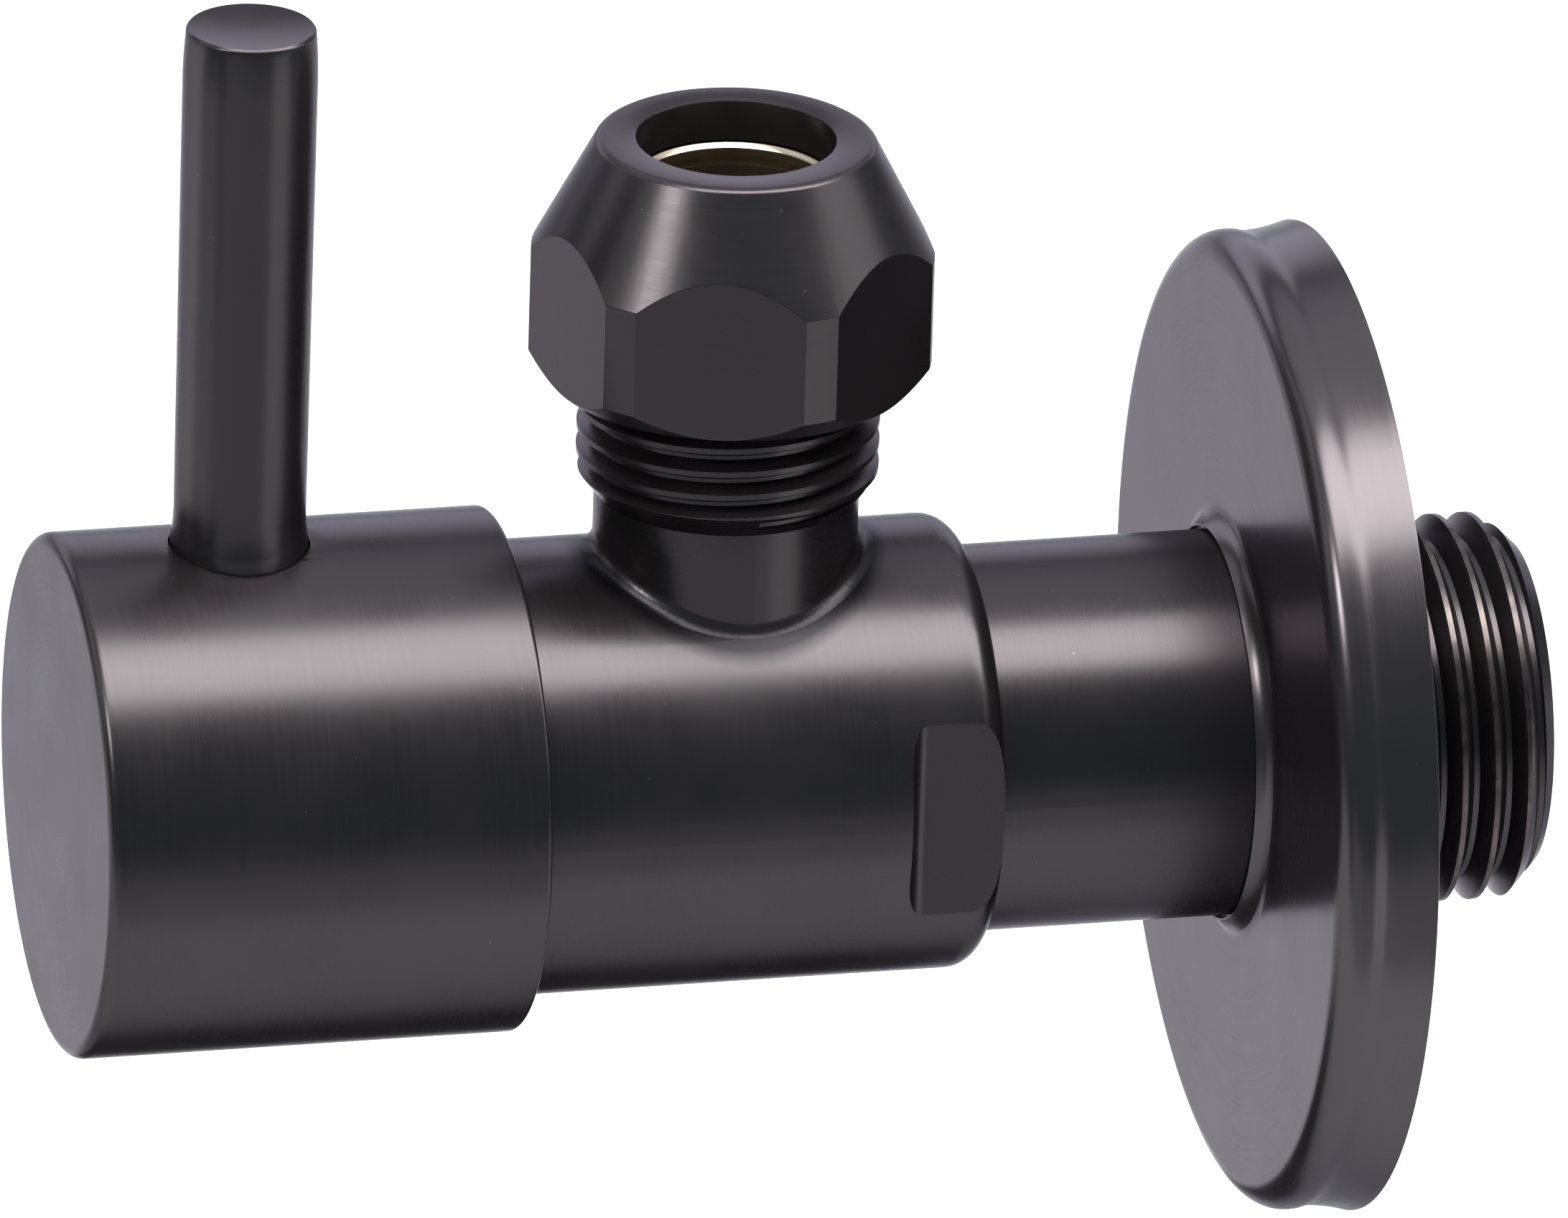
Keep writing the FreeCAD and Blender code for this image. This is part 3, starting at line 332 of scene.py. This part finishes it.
def specks(tree, place, per_metre, size):
    """1 in small round dots that are scattered over a surface, 0 elsewhere."""
    cells = add_node(tree, "ShaderNodeTexVoronoi")
    cells.inputs["Scale"].default_value = per_metre
    tree.links.new(place, cells.inputs["Vector"])
    dots = spread(tree, cells.outputs["Distance"], size, size * DOT_SOFTNESS, 0, 1)
    chosen = add_node(tree, "ShaderNodeSeparateColor")
    tree.links.new(cells.outputs["Color"], chosen.inputs[0])
    few = spread(tree, chosen.outputs["Red"], CHOSEN_FROM, CHOSEN_FULL, 0, 1)
    return multiply(tree, dots, few)


# %% [markdown]
# ## Black gunmetal
# The outside is brass under a thin dark plating, nearly black, with a warm pink-grey shine. It is
# a metal with a very dark base colour, because a metal's base colour is the tint of what it
# mirrors. Over that come four weak layers: cloudy tone, turned lines, the orange peel that
# polishing leaves, and a few bright specks of dust and bare metal. Two places are different: the
# crests of the inlet thread are rubbed paler by handling, and the inner corner at the outlet's
# foot has painted shade, a darker colour that dims the highlight of that concave corner.

# %% Name the tones and sizes of the gunmetal
GUNMETAL_DARK = (0.057, 0.050, 0.052)
GUNMETAL_LIGHT = (0.069, 0.0605, 0.063)
SPECK_METAL = (0.20, 0.18, 0.17)
WORN_METAL = (0.12, 0.098, 0.09)
GRAZING_TINT = (0.47, 0.455, 0.485, 1)
BARE_SHARE = 0.88
# Painted shade for the inner corner at the outlet's foot, which dims its highlight.
PAINTED_CORNER_SHADE = (0.020, 0.019, 0.020)
CLOUDS_PER_METRE = 160
LINES_PER_METRE = 9000
PEEL_PER_METRE = 1500
PATCHES_PER_METRE = 900
DUST_PER_METRE = 1100
DUST_SIZE = 0.05
RUBBED_DEPTH = 0.25 * MM
RUBBED_FADE = 0.5 * MM
# The sizes of the painted corner shade round the outlet's foot.
CORNER_FADE = 0.8 * MM
CORNER_IN = 0.05 * MM
CORNER_FULL = 0.3 * MM
STAND_START = 4 * MM
THREAD_START = 14.5 * MM
THREAD_FULL = 15.2 * MM
INLET_CREST = 10.4775 * MM
INLET_THREAD_START = -1.8 * MM
SPIGOT_RADIUS = 7.15 * MM
CORNER_REACH = 0.9 * MM
print("gunmetal between", GUNMETAL_DARK, "and", GUNMETAL_LIGHT)


# %% Mix the gunmetal
def gunmetal(name, foot, axis, roughness=0.28, line_height=0.00025, peel_height=0.0013,
             shine=1.0, worn=None, corner=None):
    """Dark plating on a turned piece, with heights in mm.

    worn is the radius of rubbed crests and the height where they start. corner is the foot of a
    second axis, the radius of what stands there, and how far its painted corner shade reaches.
    """
    material = bpy.data.materials.new(name)
    material.use_nodes = True
    tree = material.node_tree
    shader = tree.nodes["Principled BSDF"]
    shader.inputs["Metallic"].default_value = BARE_SHARE
    shader.inputs["Specular Tint"].default_value = GRAZING_TINT
    place, lathe, radius, height = lathe_coordinates(tree, foot, axis)
    clouds = noise(tree, place, CLOUDS_PER_METRE, detail=4)
    colour = blend_colours(tree, clouds, tuple(shine * part for part in GUNMETAL_DARK),
                           tuple(shine * part for part in GUNMETAL_LIGHT))
    if worn:
        crest, start = worn
        rubbed = multiply(tree, spread(tree, radius, crest - RUBBED_DEPTH, crest, 0, 1),
                          spread(tree, height, start - RUBBED_FADE, start, 0, 1))
        patches = spread(tree, noise(tree, place, PATCHES_PER_METRE), 0.35, 0.65, 0, 1)
        patchy = multiply(tree, rubbed, patches)
        colour = blend_colours(tree, patchy, colour, WORN_METAL)
    # Painted shade: a darker colour in the inner corner round the foot of the second axis dims the
    # highlight there.
    if corner:
        stand_foot, stand_radius, reach = corner
        _, _, off_axis, rise = lathe_coordinates(tree, stand_foot, UPRIGHT)
        edge = stand_radius + reach
        near = multiply(tree, spread(tree, off_axis, edge, edge + CORNER_FADE, 1, 0),
                        spread(tree, off_axis, stand_radius + CORNER_IN,
                               stand_radius + CORNER_FULL, 0, 1))
        below_thread = multiply(tree, spread(tree, rise, 0, STAND_START, 0, 1),
                                spread(tree, rise, THREAD_START, THREAD_FULL, 1, 0))
        colour = blend_colours(tree, multiply(tree, near, below_thread), colour, PAINTED_CORNER_SHADE)
    dust = specks(tree, place, DUST_PER_METRE, DUST_SIZE)
    tree.links.new(blend_colours(tree, dust, colour, SPECK_METAL), shader.inputs["Base Color"])
    lines = noise(tree, lathe, LINES_PER_METRE, detail=2, roughness=0.7)
    tree.links.new(spread(tree, sum_up(tree, clouds, lines, 0.6), 0.5, 1.1,
                          roughness - 0.035, roughness + 0.045), shader.inputs["Roughness"])
    peel = noise(tree, place, PEEL_PER_METRE, detail=2)
    relief = sum_up(tree, sum_up(tree, dust, lines, line_height / peel_height), peel, 1.0)
    tree.links.new(bump(tree, relief, peel_height * MM), shader.inputs["Normal"])
    print(f"{name}: {len(tree.nodes)} nodes, roughness about {roughness}")
    return material


# The barrel gets painted shade in the inner corner at the outlet's foot.
barrel_finish = gunmetal("barrel_gunmetal", inlet_foot, ALONG_INLET,
                         worn=(INLET_CREST, INLET_THREAD_START),
                         corner=(riser_foot, SPIGOT_RADIUS, CORNER_REACH))
knob_finish = gunmetal("knob_gunmetal", inlet_foot, ALONG_INLET, roughness=0.28)
cover_finish = gunmetal("cover_gunmetal", inlet_foot, ALONG_INLET, roughness=0.25, shine=1.35)
lever_finish = gunmetal("lever_gunmetal", lever_foot, UPRIGHT, roughness=0.28, line_height=0.001)
nut_finish = gunmetal("nut_gunmetal", riser_foot, UPRIGHT, roughness=0.29, line_height=0.0013,
                      peel_height=0.0045)


# %% [markdown]
# ## The other finishes
# Behind the plating there is plain machined brass, which shows in the mouth of the nut. The parts
# inside are stainless steel, rubber, white plastic and grey ceramic. They are out of sight while
# the valve is whole, and each still gets a finish of its own, because the pieces are also looked
# at one by one.

# %% Mix the inner finishes
def plain_finish(name, dark, light, metallic, roughness, grain, grain_height, foot, axis):
    """A finish with two tones, turned lines and a grain; grain is per metre, its height in mm."""
    material = bpy.data.materials.new(name)
    material.use_nodes = True
    tree = material.node_tree
    shader = tree.nodes["Principled BSDF"]
    shader.inputs["Metallic"].default_value = metallic
    place, lathe, _, _ = lathe_coordinates(tree, foot, axis)
    tone = noise(tree, place, 300, detail=4)
    lines = noise(tree, lathe, 6000, detail=3)
    tree.links.new(blend_colours(tree, tone, dark, light), shader.inputs["Base Color"])
    tree.links.new(spread(tree, lines, 0.3, 0.7, roughness * 0.85, roughness * 1.2),
                   shader.inputs["Roughness"])
    height = sum_up(tree, noise(tree, place, grain), lines, 0.7)
    tree.links.new(bump(tree, height, grain_height * MM), shader.inputs["Normal"])
    print(f"{name}: roughness about {roughness}")
    return material


bright_brass = plain_finish("bright_brass", (0.54, 0.44, 0.31), (0.66, 0.56, 0.43), 1.0, 0.24,
                            1500, 0.002, riser_foot, UPRIGHT)
bare_brass = plain_finish("bare_brass", (0.60, 0.40, 0.17), (0.72, 0.50, 0.24), 1.0, 0.32,
                          1500, 0.002, inlet_foot, ALONG_INLET)
stainless = plain_finish("stainless_steel", (0.50, 0.50, 0.51), (0.62, 0.61, 0.60), 1.0, 0.28,
                         2000, 0.0015, inlet_foot, ALONG_INLET)
rubber = plain_finish("rubber_seal", (0.012, 0.012, 0.013), (0.022, 0.022, 0.023), 0.0, 0.62,
                      3500, 0.006, inlet_foot, ALONG_INLET)
white_plastic = plain_finish("white_plastic", (0.74, 0.73, 0.70), (0.82, 0.81, 0.79), 0.0, 0.42,
                             1800, 0.003, inlet_foot, ALONG_INLET)
ceramic = plain_finish("grey_ceramic", (0.50, 0.49, 0.46), (0.58, 0.57, 0.54), 0.0, 0.18,
                       2500, 0.0008, inlet_foot, ALONG_INLET)

# %% [markdown]
# ## Turning a piece on the lathe
# Nearly every outer piece is a solid of revolution. It could start as a cylinder that is inset and
# extruded ring by ring. Drawing half of its section and spinning it is quicker to read, because
# the outline is the same one that a turner would draw. The first point comes from a plane merged
# to one vertex, each further point is extruded from the last, and one spin makes the solid. Then
# the sharp rims are picked by their place and bevelled, as a turner breaks an edge.

# %% Write the lathe helpers
ROUND_STEPS = 192
SAME_PLACE = 1e-6
RIM_REACH = 0.01 * MM


def leave_edit_mode():
    """Back to object mode, whatever the last step left on."""
    if bpy.context.mode == "EDIT_MESH":
        bpy.ops.object.mode_set(mode="OBJECT")


def draw_outline(name, outline, to_place):
    """A wire through the outline's (radius, height) points, made by extruding one vertex."""
    bpy.ops.object.select_all(action="DESELECT")
    bpy.ops.mesh.primitive_plane_add(size=MM)
    piece = bpy.context.object
    piece.name = name
    piece.data.name = name
    bpy.ops.object.mode_set(mode="EDIT")
    bpy.ops.mesh.select_mode(type="VERT")
    bpy.ops.mesh.select_all(action="SELECT")
    bpy.ops.mesh.merge(type="CENTER")
    places = [to_place(*point) for point in outline]
    bpy.ops.transform.translate(value=places[0])
    for here, there in zip(places, places[1:]):
        bpy.ops.mesh.extrude_vertices_move(TRANSFORM_OT_translate={"value": there - here})
    return piece


def turn_piece(name, outline, foot, axis, steps=ROUND_STEPS):
    """Spin an outline of (radius, height) about an axis and leave the piece in edit mode."""
    across = Vector((1, 0, 0))
    piece = draw_outline(name, outline, lambda radius, height: foot + across * radius + axis * height)
    bpy.ops.mesh.select_all(action="SELECT")
    bpy.ops.mesh.spin(steps=steps, angle=math.tau, center=foot, axis=axis)
    bpy.ops.mesh.select_all(action="SELECT")
    bpy.ops.mesh.remove_doubles(threshold=SAME_PLACE)
    bpy.ops.mesh.normals_make_consistent(inside=False)
    return piece


def pick_edges(piece, wanted):
    """Select the edges that a test wants, in edit mode."""
    bpy.ops.mesh.select_mode(type="EDGE")
    bpy.ops.mesh.select_all(action="DESELECT")
    mesh = bmesh.from_edit_mesh(piece.data)
    count = 0
    for edge in mesh.edges:
        if wanted(edge):
            edge.select_set(True)
            count += 1
    bmesh.update_edit_mesh(piece.data)
    return count


def lathe_place(point, foot, axis):
    """(radius, height) of a point about an axis."""
    from_foot = point - foot
    height = from_foot.dot(axis)
    return (from_foot - axis * height).length, height


def bevel_rim(piece, foot, axis, radius, height, size, segments=3):
    """Round the full circle of edges at a radius and height."""
    def on_rim(edge):
        spots = [lathe_place(corner.co, foot, axis) for corner in edge.verts]
        return all(abs(r - radius) < RIM_REACH and abs(h - height) < RIM_REACH for r, h in spots)

    count = pick_edges(piece, on_rim)
    bpy.ops.mesh.bevel(offset=size, offset_type="OFFSET", segments=segments, affect="EDGES",
                       clamp_overlap=False)
    print(f"  {piece.name}: {count} rim edges rounded by {size / MM:.2f} mm")


def pick_piece(piece):
    """Select one piece alone and make it the active one."""
    bpy.ops.object.select_all(action="DESELECT")
    piece.select_set(True)
    bpy.context.view_layer.objects.active = piece


def apply_modifiers(piece):
    """Turn a piece's modifiers into its mesh."""
    pick_piece(piece)
    for modifier in list(piece.modifiers):
        bpy.ops.object.modifier_apply(modifier=modifier.name)


def extent(piece):
    """The lowest and highest corner of a piece's own mesh."""
    corners = [[vertex.co[side] for vertex in piece.data.vertices] for side in range(3)]
    return [min(values) for values in corners], [max(values) for values in corners]


def finish_piece(piece, body, node, finish, smooth_angle=35):
    """Shade a piece, give it its finish, and let it stand for its node on its body."""
    leave_edit_mode()
    pick_piece(piece)
    bpy.ops.object.shade_smooth_by_angle(angle=math.radians(smooth_angle))
    weigh = piece.modifiers.new("even_faces", "WEIGHTED_NORMAL")
    weigh.keep_sharp = True
    apply_modifiers(piece)
    piece.data.materials.clear()
    piece.data.materials.append(finish)
    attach(piece, body)
    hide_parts(node)
    sides = [round((b - a) / MM, 2) for a, b in zip(*extent(piece))]
    wanted = [round(side / MM, 2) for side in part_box(node)[1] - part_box(node)[0]]
    print(f"{piece.name}: {len(piece.data.polygons)} faces, {sides} mm, its node {wanted} mm")


def curve_between(start, end, bow, count=8):
    """Points on a shallow arc from start to end that bows out to the right by bow."""
    run, rise = end[0] - start[0], end[1] - start[1]
    length = math.hypot(run, rise)
    points = []
    for step in range(1, count):
        share = step / count
        out = bow * 4 * share * (1 - share)
        points.append((start[0] + run * share + rise / length * out,
                       start[1] + rise * share - run / length * out))
    return points


# %% [markdown]
# ## The knob
# The knob is a cup turned from one bar: a plain front face, a straight wall, and a hollow skirt
# that slips over the barrel's end. A cylinder would give the wall but not the hollow, so it is
# drawn and spun. The lever's seat is then drilled into its top, with a thin broken edge that
# catches the light.

# %% Measure the knob
SKIRT_WALL = 1.55 * MM
BUSH_PLAY = 0.2 * MM
BUSH_GAP = 0.1 * MM
WALL_RINGS = 10
knob_low, knob_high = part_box("knob")
bush_low, bush_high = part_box("spline_adapter")
knob_radius = (knob_high.x - knob_low.x) / 2
bush_radius = (bush_high.x - bush_low.x) / 2
skirt_radius = knob_radius - SKIRT_WALL
skirt_floor = bush_high.y + BUSH_PLAY
bush_floor = bush_low.y - BUSH_GAP
wall_points = [(knob_radius, knob_low.y + (knob_high.y - knob_low.y) * step / WALL_RINGS)
               for step in range(1, WALL_RINGS)]
print("knob radius", round(knob_radius / MM, 3), "mm, hollow", round(skirt_radius / MM, 3), "mm")

# %% Turn the knob
FACE_EDGE = 0.7 * MM
SKIRT_EDGE = 0.28 * MM
HOLLOW_EDGE = 0.2 * MM
knob = turn_piece("turned_knob", [
    (0, knob_low.y), (knob_radius * 0.5, knob_low.y), (knob_radius, knob_low.y), *wall_points,
    (knob_radius, knob_high.y), (skirt_radius, knob_high.y), (skirt_radius, skirt_floor),
    (bush_radius, skirt_floor), (bush_radius, bush_floor), (0, bush_floor)],
    inlet_foot, ALONG_INLET)
bevel_rim(knob, inlet_foot, ALONG_INLET, knob_radius, knob_low.y, FACE_EDGE, segments=6)
bevel_rim(knob, inlet_foot, ALONG_INLET, knob_radius, knob_high.y, SKIRT_EDGE)
bevel_rim(knob, inlet_foot, ALONG_INLET, skirt_radius, knob_high.y, HOLLOW_EDGE)
leave_edit_mode()

# %% Drill the seat for the lever
SEAT_PLAY = 0.06 * MM
DRILL_LENGTH = 10 * MM
lever_low, lever_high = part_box("lever_pin")
lever_foot_radius = (lever_high.x - lever_low.x) / 2
bpy.ops.object.select_all(action="DESELECT")
bpy.ops.mesh.primitive_cylinder_add(
    vertices=96, radius=lever_foot_radius + SEAT_PLAY, depth=DRILL_LENGTH,
    location=(0, lever_foot.y, lever_low.z + DRILL_LENGTH / 2 - SEAT_PLAY))
drill = bpy.context.object
bpy.ops.object.transform_apply(location=True, rotation=False, scale=False)
cut = knob.modifiers.new("seat", "BOOLEAN")
cut.operation = "DIFFERENCE"
cut.solver = "EXACT"
cut.object = drill
apply_modifiers(knob)
bpy.data.objects.remove(drill)
bpy.ops.object.mode_set(mode="EDIT")
print("the seat is", round(2 * (lever_foot_radius + SEAT_PLAY) / MM, 2), "mm wide")

# %% Break the edge of the seat
SEAT_EDGE = 0.12 * MM
ON_SURFACE = 0.02 * MM


def on_seat_rim(edge):
    """The saddle-shaped edge where the drilled seat meets the knob's wall."""
    for corner in edge.verts:
        from_lever = math.hypot(corner.co.x - lever_foot.x, corner.co.y - lever_foot.y)
        from_axis = math.hypot(corner.co.x, corner.co.z)
        if abs(from_lever - lever_foot_radius - SEAT_PLAY) > ON_SURFACE:
            return False
        if abs(from_axis - knob_radius) > ON_SURFACE:
            return False
    return True


print("  seat rim:", pick_edges(knob, on_seat_rim), "edges")
bpy.ops.mesh.bevel(offset=SEAT_EDGE, segments=2, affect="EDGES", clamp_overlap=False)
finish_piece(knob, "handle", "knob", knob_finish)

# %% [markdown]
# ## The lever
# A straight pin with a slightly swollen head, a dished top and a small flare at its foot. Drawing
# its outline point by point keeps the crown and the dish as true curves.

# %% Draw the lever's outline
lever_radius = lever_foot_radius - 0.08 * MM
pin_waist = lever_foot_radius - 0.15 * MM
crown_radius = lever_radius - 0.14 * MM
flare_start = knob_radius + 0.2 * MM
flare_end = flare_start + 1.6 * MM
crown_start = lever_high.z - 3 * MM
edge_height = lever_high.z - 0.12 * MM
rim_radius = crown_radius - 0.12 * MM
dish_floor = lever_high.z - 0.23 * MM
pin_outline = [(0, lever_low.z), (lever_foot_radius, lever_low.z), (lever_foot_radius, flare_start)]
pin_outline += curve_between(pin_outline[-1], (pin_waist, flare_end), -0.03 * MM)
pin_outline += [(pin_waist, flare_end), (pin_waist + 0.02 * MM, flare_end + 6 * MM),
                (lever_radius, crown_start)]
pin_outline += curve_between(pin_outline[-1], (crown_radius, edge_height), 0.035 * MM)
pin_outline += [(crown_radius, edge_height), (rim_radius, lever_high.z)]
pin_outline += curve_between(pin_outline[-1], (0, dish_floor), -0.05 * MM)
pin_outline += [(0, dish_floor)]
print("the lever's outline has", len(pin_outline), "points")

# %% Turn the lever
PIN_EDGE = 0.05 * MM
lever = turn_piece("turned_lever", pin_outline, lever_foot, UPRIGHT, steps=128)
bevel_rim(lever, lever_foot, UPRIGHT, crown_radius, edge_height, PIN_EDGE, segments=2)
finish_piece(lever, "handle", "lever_pin", lever_finish)

# %% [markdown]
# ## The compression nut
# The nut starts as a round blank with a cone on top, and a milling cutter then takes six flats off
# it. Because the blank is only a little wider than the flats, narrow round lands stay between them
# and each flat ends in an arch on the cone. Cutting the spun blank with six bisect planes makes
# exactly those arches. The edges are then broken with a small bevel.

# %% Measure the nut
NUT_STEPS = 144
HALF_FLATS = 9.85 * MM
TOP_RADIUS = 7.48 * MM
TUBE_HOLE = 5.37 * MM
BORE_RADIUS = 8.35 * MM
NUT_TURN = math.radians(-16.6)
nut_low, nut_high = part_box("compression_nut")
nut_radius = (nut_high.x - nut_low.x) / 2
nut_shoulder = nut_high.z - 6.45 * MM
bore_top = nut_high.z - 6.25 * MM
hole_floor = nut_high.z - 2.25 * MM
chamfer_foot = HALF_FLATS - 0.03 * MM
chamfer_top = nut_low.z + 1.12 * MM
print("across flats", round(2 * HALF_FLATS / MM, 2), "mm, blank", round(2 * nut_radius / MM, 2), "mm")

# %% Turn the blank
nut = turn_piece("milled_nut", [
    (BORE_RADIUS, nut_low.z), (chamfer_foot, nut_low.z),
    (nut_radius, chamfer_top), (nut_radius, nut_shoulder),
    (TOP_RADIUS, nut_high.z), (TUBE_HOLE, nut_high.z), (TUBE_HOLE, hole_floor),
    (BORE_RADIUS, bore_top), (BORE_RADIUS, nut_low.z)], riser_foot, UPRIGHT, steps=NUT_STEPS)
bpy.ops.mesh.select_all(action="SELECT")
bpy.ops.transform.rotate(value=-NUT_TURN, orient_axis="Z", center_override=riser_foot)
print("the blank is turned by", round(math.degrees(NUT_TURN), 1), "degrees")

# %% Mill the six flats
TOP_EDGE = 0.28 * MM
HOLE_EDGE = 0.12 * MM
for flat in range(6):
    angle = NUT_TURN + math.radians(60) * flat
    outward = Vector((math.cos(angle), math.sin(angle), 0))
    bpy.ops.mesh.select_all(action="SELECT")
    bpy.ops.mesh.bisect(plane_co=riser_foot + outward * HALF_FLATS, plane_no=outward,
                        use_fill=True, clear_outer=True, threshold=1e-7)
bevel_rim(nut, riser_foot, UPRIGHT, TOP_RADIUS, nut_high.z, TOP_EDGE)
bevel_rim(nut, riser_foot, UPRIGHT, TUBE_HOLE, nut_high.z, HOLE_EDGE, segments=2)

# %% Break the edges of the flats
FLAT_EDGE = 0.09 * MM
SHARPEST_CURVE = 14


def on_flat_edge(edge):
    """An edge between a milled flat and the round of the blank."""
    if len(edge.link_faces) != 2:
        return False
    spots = [lathe_place(corner.co, riser_foot, UPRIGHT) for corner in edge.verts]
    sharp = math.degrees(edge.calc_face_angle(0)) > SHARPEST_CURVE
    outside = min(radius for radius, _ in spots) > HALF_FLATS - RIM_REACH
    return sharp and outside and max(height for _, height in spots) > nut_low.z + RIM_REACH


print("  edges round the flats:", pick_edges(nut, on_flat_edge))
bpy.ops.mesh.bevel(offset=FLAT_EDGE, segments=2, affect="EDGES", clamp_overlap=True)
finish_piece(nut, "nut", "compression_nut", nut_finish, smooth_angle=30)

# %% [markdown]
# ## The compression ring
# A soft brass ring that the nut squeezes onto the tube. Only its bevelled upper end shows in the
# mouth of the nut, as a bright golden crescent.

# %% Turn the ring
RING_WALL = 1.2 * MM
RING_TIP = 0.25 * MM
ring_low, ring_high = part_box("compression_ring")
ring_outer = (ring_high.x - ring_low.x) / 2
ring_inner = ring_outer - RING_WALL
ring_shoulder = ring_high.z - 1.4 * MM
ring = turn_piece("brass_ring", [
    (ring_inner, ring_low.z), (ring_inner + 0.35 * MM, ring_low.z),
    (ring_outer, ring_low.z + 1.9 * MM), (ring_outer, ring_shoulder),
    (ring_inner + RING_TIP, ring_high.z), (ring_inner, ring_high.z - RING_TIP),
    (ring_inner, ring_low.z)], riser_foot, UPRIGHT, steps=NUT_STEPS)
bevel_rim(ring, riser_foot, UPRIGHT, ring_outer, ring_shoulder, 0.3 * MM)
bevel_rim(ring, riser_foot, UPRIGHT, ring_inner + RING_TIP, ring_high.z, 0.05 * MM, segments=2)
finish_piece(ring, "nut_rise", "compression_ring", bright_brass)

# %% [markdown]
# ## The cover plate
# The cover is spun from thin sheet over a former: a flat face, a rolled outer corner, a side wall
# with a slight waist, and a short collar turned out round the neck. It has a real thickness, so
# its hollow back is right as well.

# %% Draw the cover's side
SHEET = 0.7 * MM
CORNER = 1.7 * MM
NECK_HOLE = 10.62 * MM
cover_low, cover_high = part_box("escutcheon")
rear_radius = (cover_high.x - cover_low.x) / 2
cover_waist = rear_radius - 0.47 * MM
bulge_radius = rear_radius - 0.25 * MM
collar_front = cover_low.y
face = collar_front + 0.9 * MM
inner_face = face + SHEET
collar_radius = NECK_HOLE + 0.12 * MM
collar_foot = NECK_HOLE + 1.0 * MM
waist_y = cover_high.y - 2.7 * MM
corner_y = face + CORNER
side = [(rear_radius, cover_high.y)]
side += curve_between(side[-1], (cover_waist, waist_y), 0.1 * MM, count=6)
side += [(cover_waist, waist_y)]
side += curve_between(side[-1], (bulge_radius, corner_y), 0.03 * MM, count=4)
print("the cover's side has", len(side), "points")

# %% Spin the cover
COVER_STEPS = 256
HALF_WAY = 0.7
cover = turn_piece("spun_cover", [
    *side, (bulge_radius, face), (bulge_radius * HALF_WAY, face), (collar_foot, face),
    *curve_between((collar_foot, face), (collar_radius, collar_front), 0.12 * MM, count=6),
    (collar_radius, collar_front), (NECK_HOLE, collar_front), (NECK_HOLE, inner_face),
    (bulge_radius * HALF_WAY, inner_face), (bulge_radius - SHEET, inner_face),
    (cover_waist - SHEET, waist_y), (rear_radius - SHEET, cover_high.y),
    (rear_radius, cover_high.y)], inlet_foot, ALONG_INLET, steps=COVER_STEPS)
COVER_RIMS = (
    (bulge_radius, face, CORNER - 0.02 * MM, 10),
    (collar_foot, face, 0.3 * MM, 4),
    (NECK_HOLE, collar_front, 0.05 * MM, 2),
    (NECK_HOLE, inner_face, 0.6 * MM, 5),
    (rear_radius, cover_high.y, 0.12 * MM, 2),
    (bulge_radius - SHEET, inner_face, 0.3 * MM, 3))
for rim_radius, rim_y, size, segments in COVER_RIMS:
    bevel_rim(cover, inlet_foot, ALONG_INLET, rim_radius, rim_y, size, segments)
finish_piece(cover, "cover", "escutcheon", cover_finish)

# %% [markdown]
# ## The parts that stay as they are
# The body's threads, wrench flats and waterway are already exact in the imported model, so its mesh
# stays and only gets a finish. The same goes for the parts inside.

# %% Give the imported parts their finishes
FINISHES = {
    "valve_body": barrel_finish, "lever_stud": stainless, "knob_set_screw": stainless,
    "spline_adapter": white_plastic, "stem": bare_brass, "stem_o_rings": rubber,
    "stem_circlip": stainless, "gland_nut": bare_brass, "gland_gasket": rubber,
    "thrust_washer": white_plastic, "disc_cage": white_plastic, "fixed_disc": ceramic,
    "moving_disc": ceramic, "disc_driver": white_plastic, "seat_seal": rubber}
for node, finish in FINISHES.items():
    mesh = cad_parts[node].data
    mesh.materials.clear()
    mesh.materials.append(finish)
print(len(FINISHES), "packed parts have a finish")
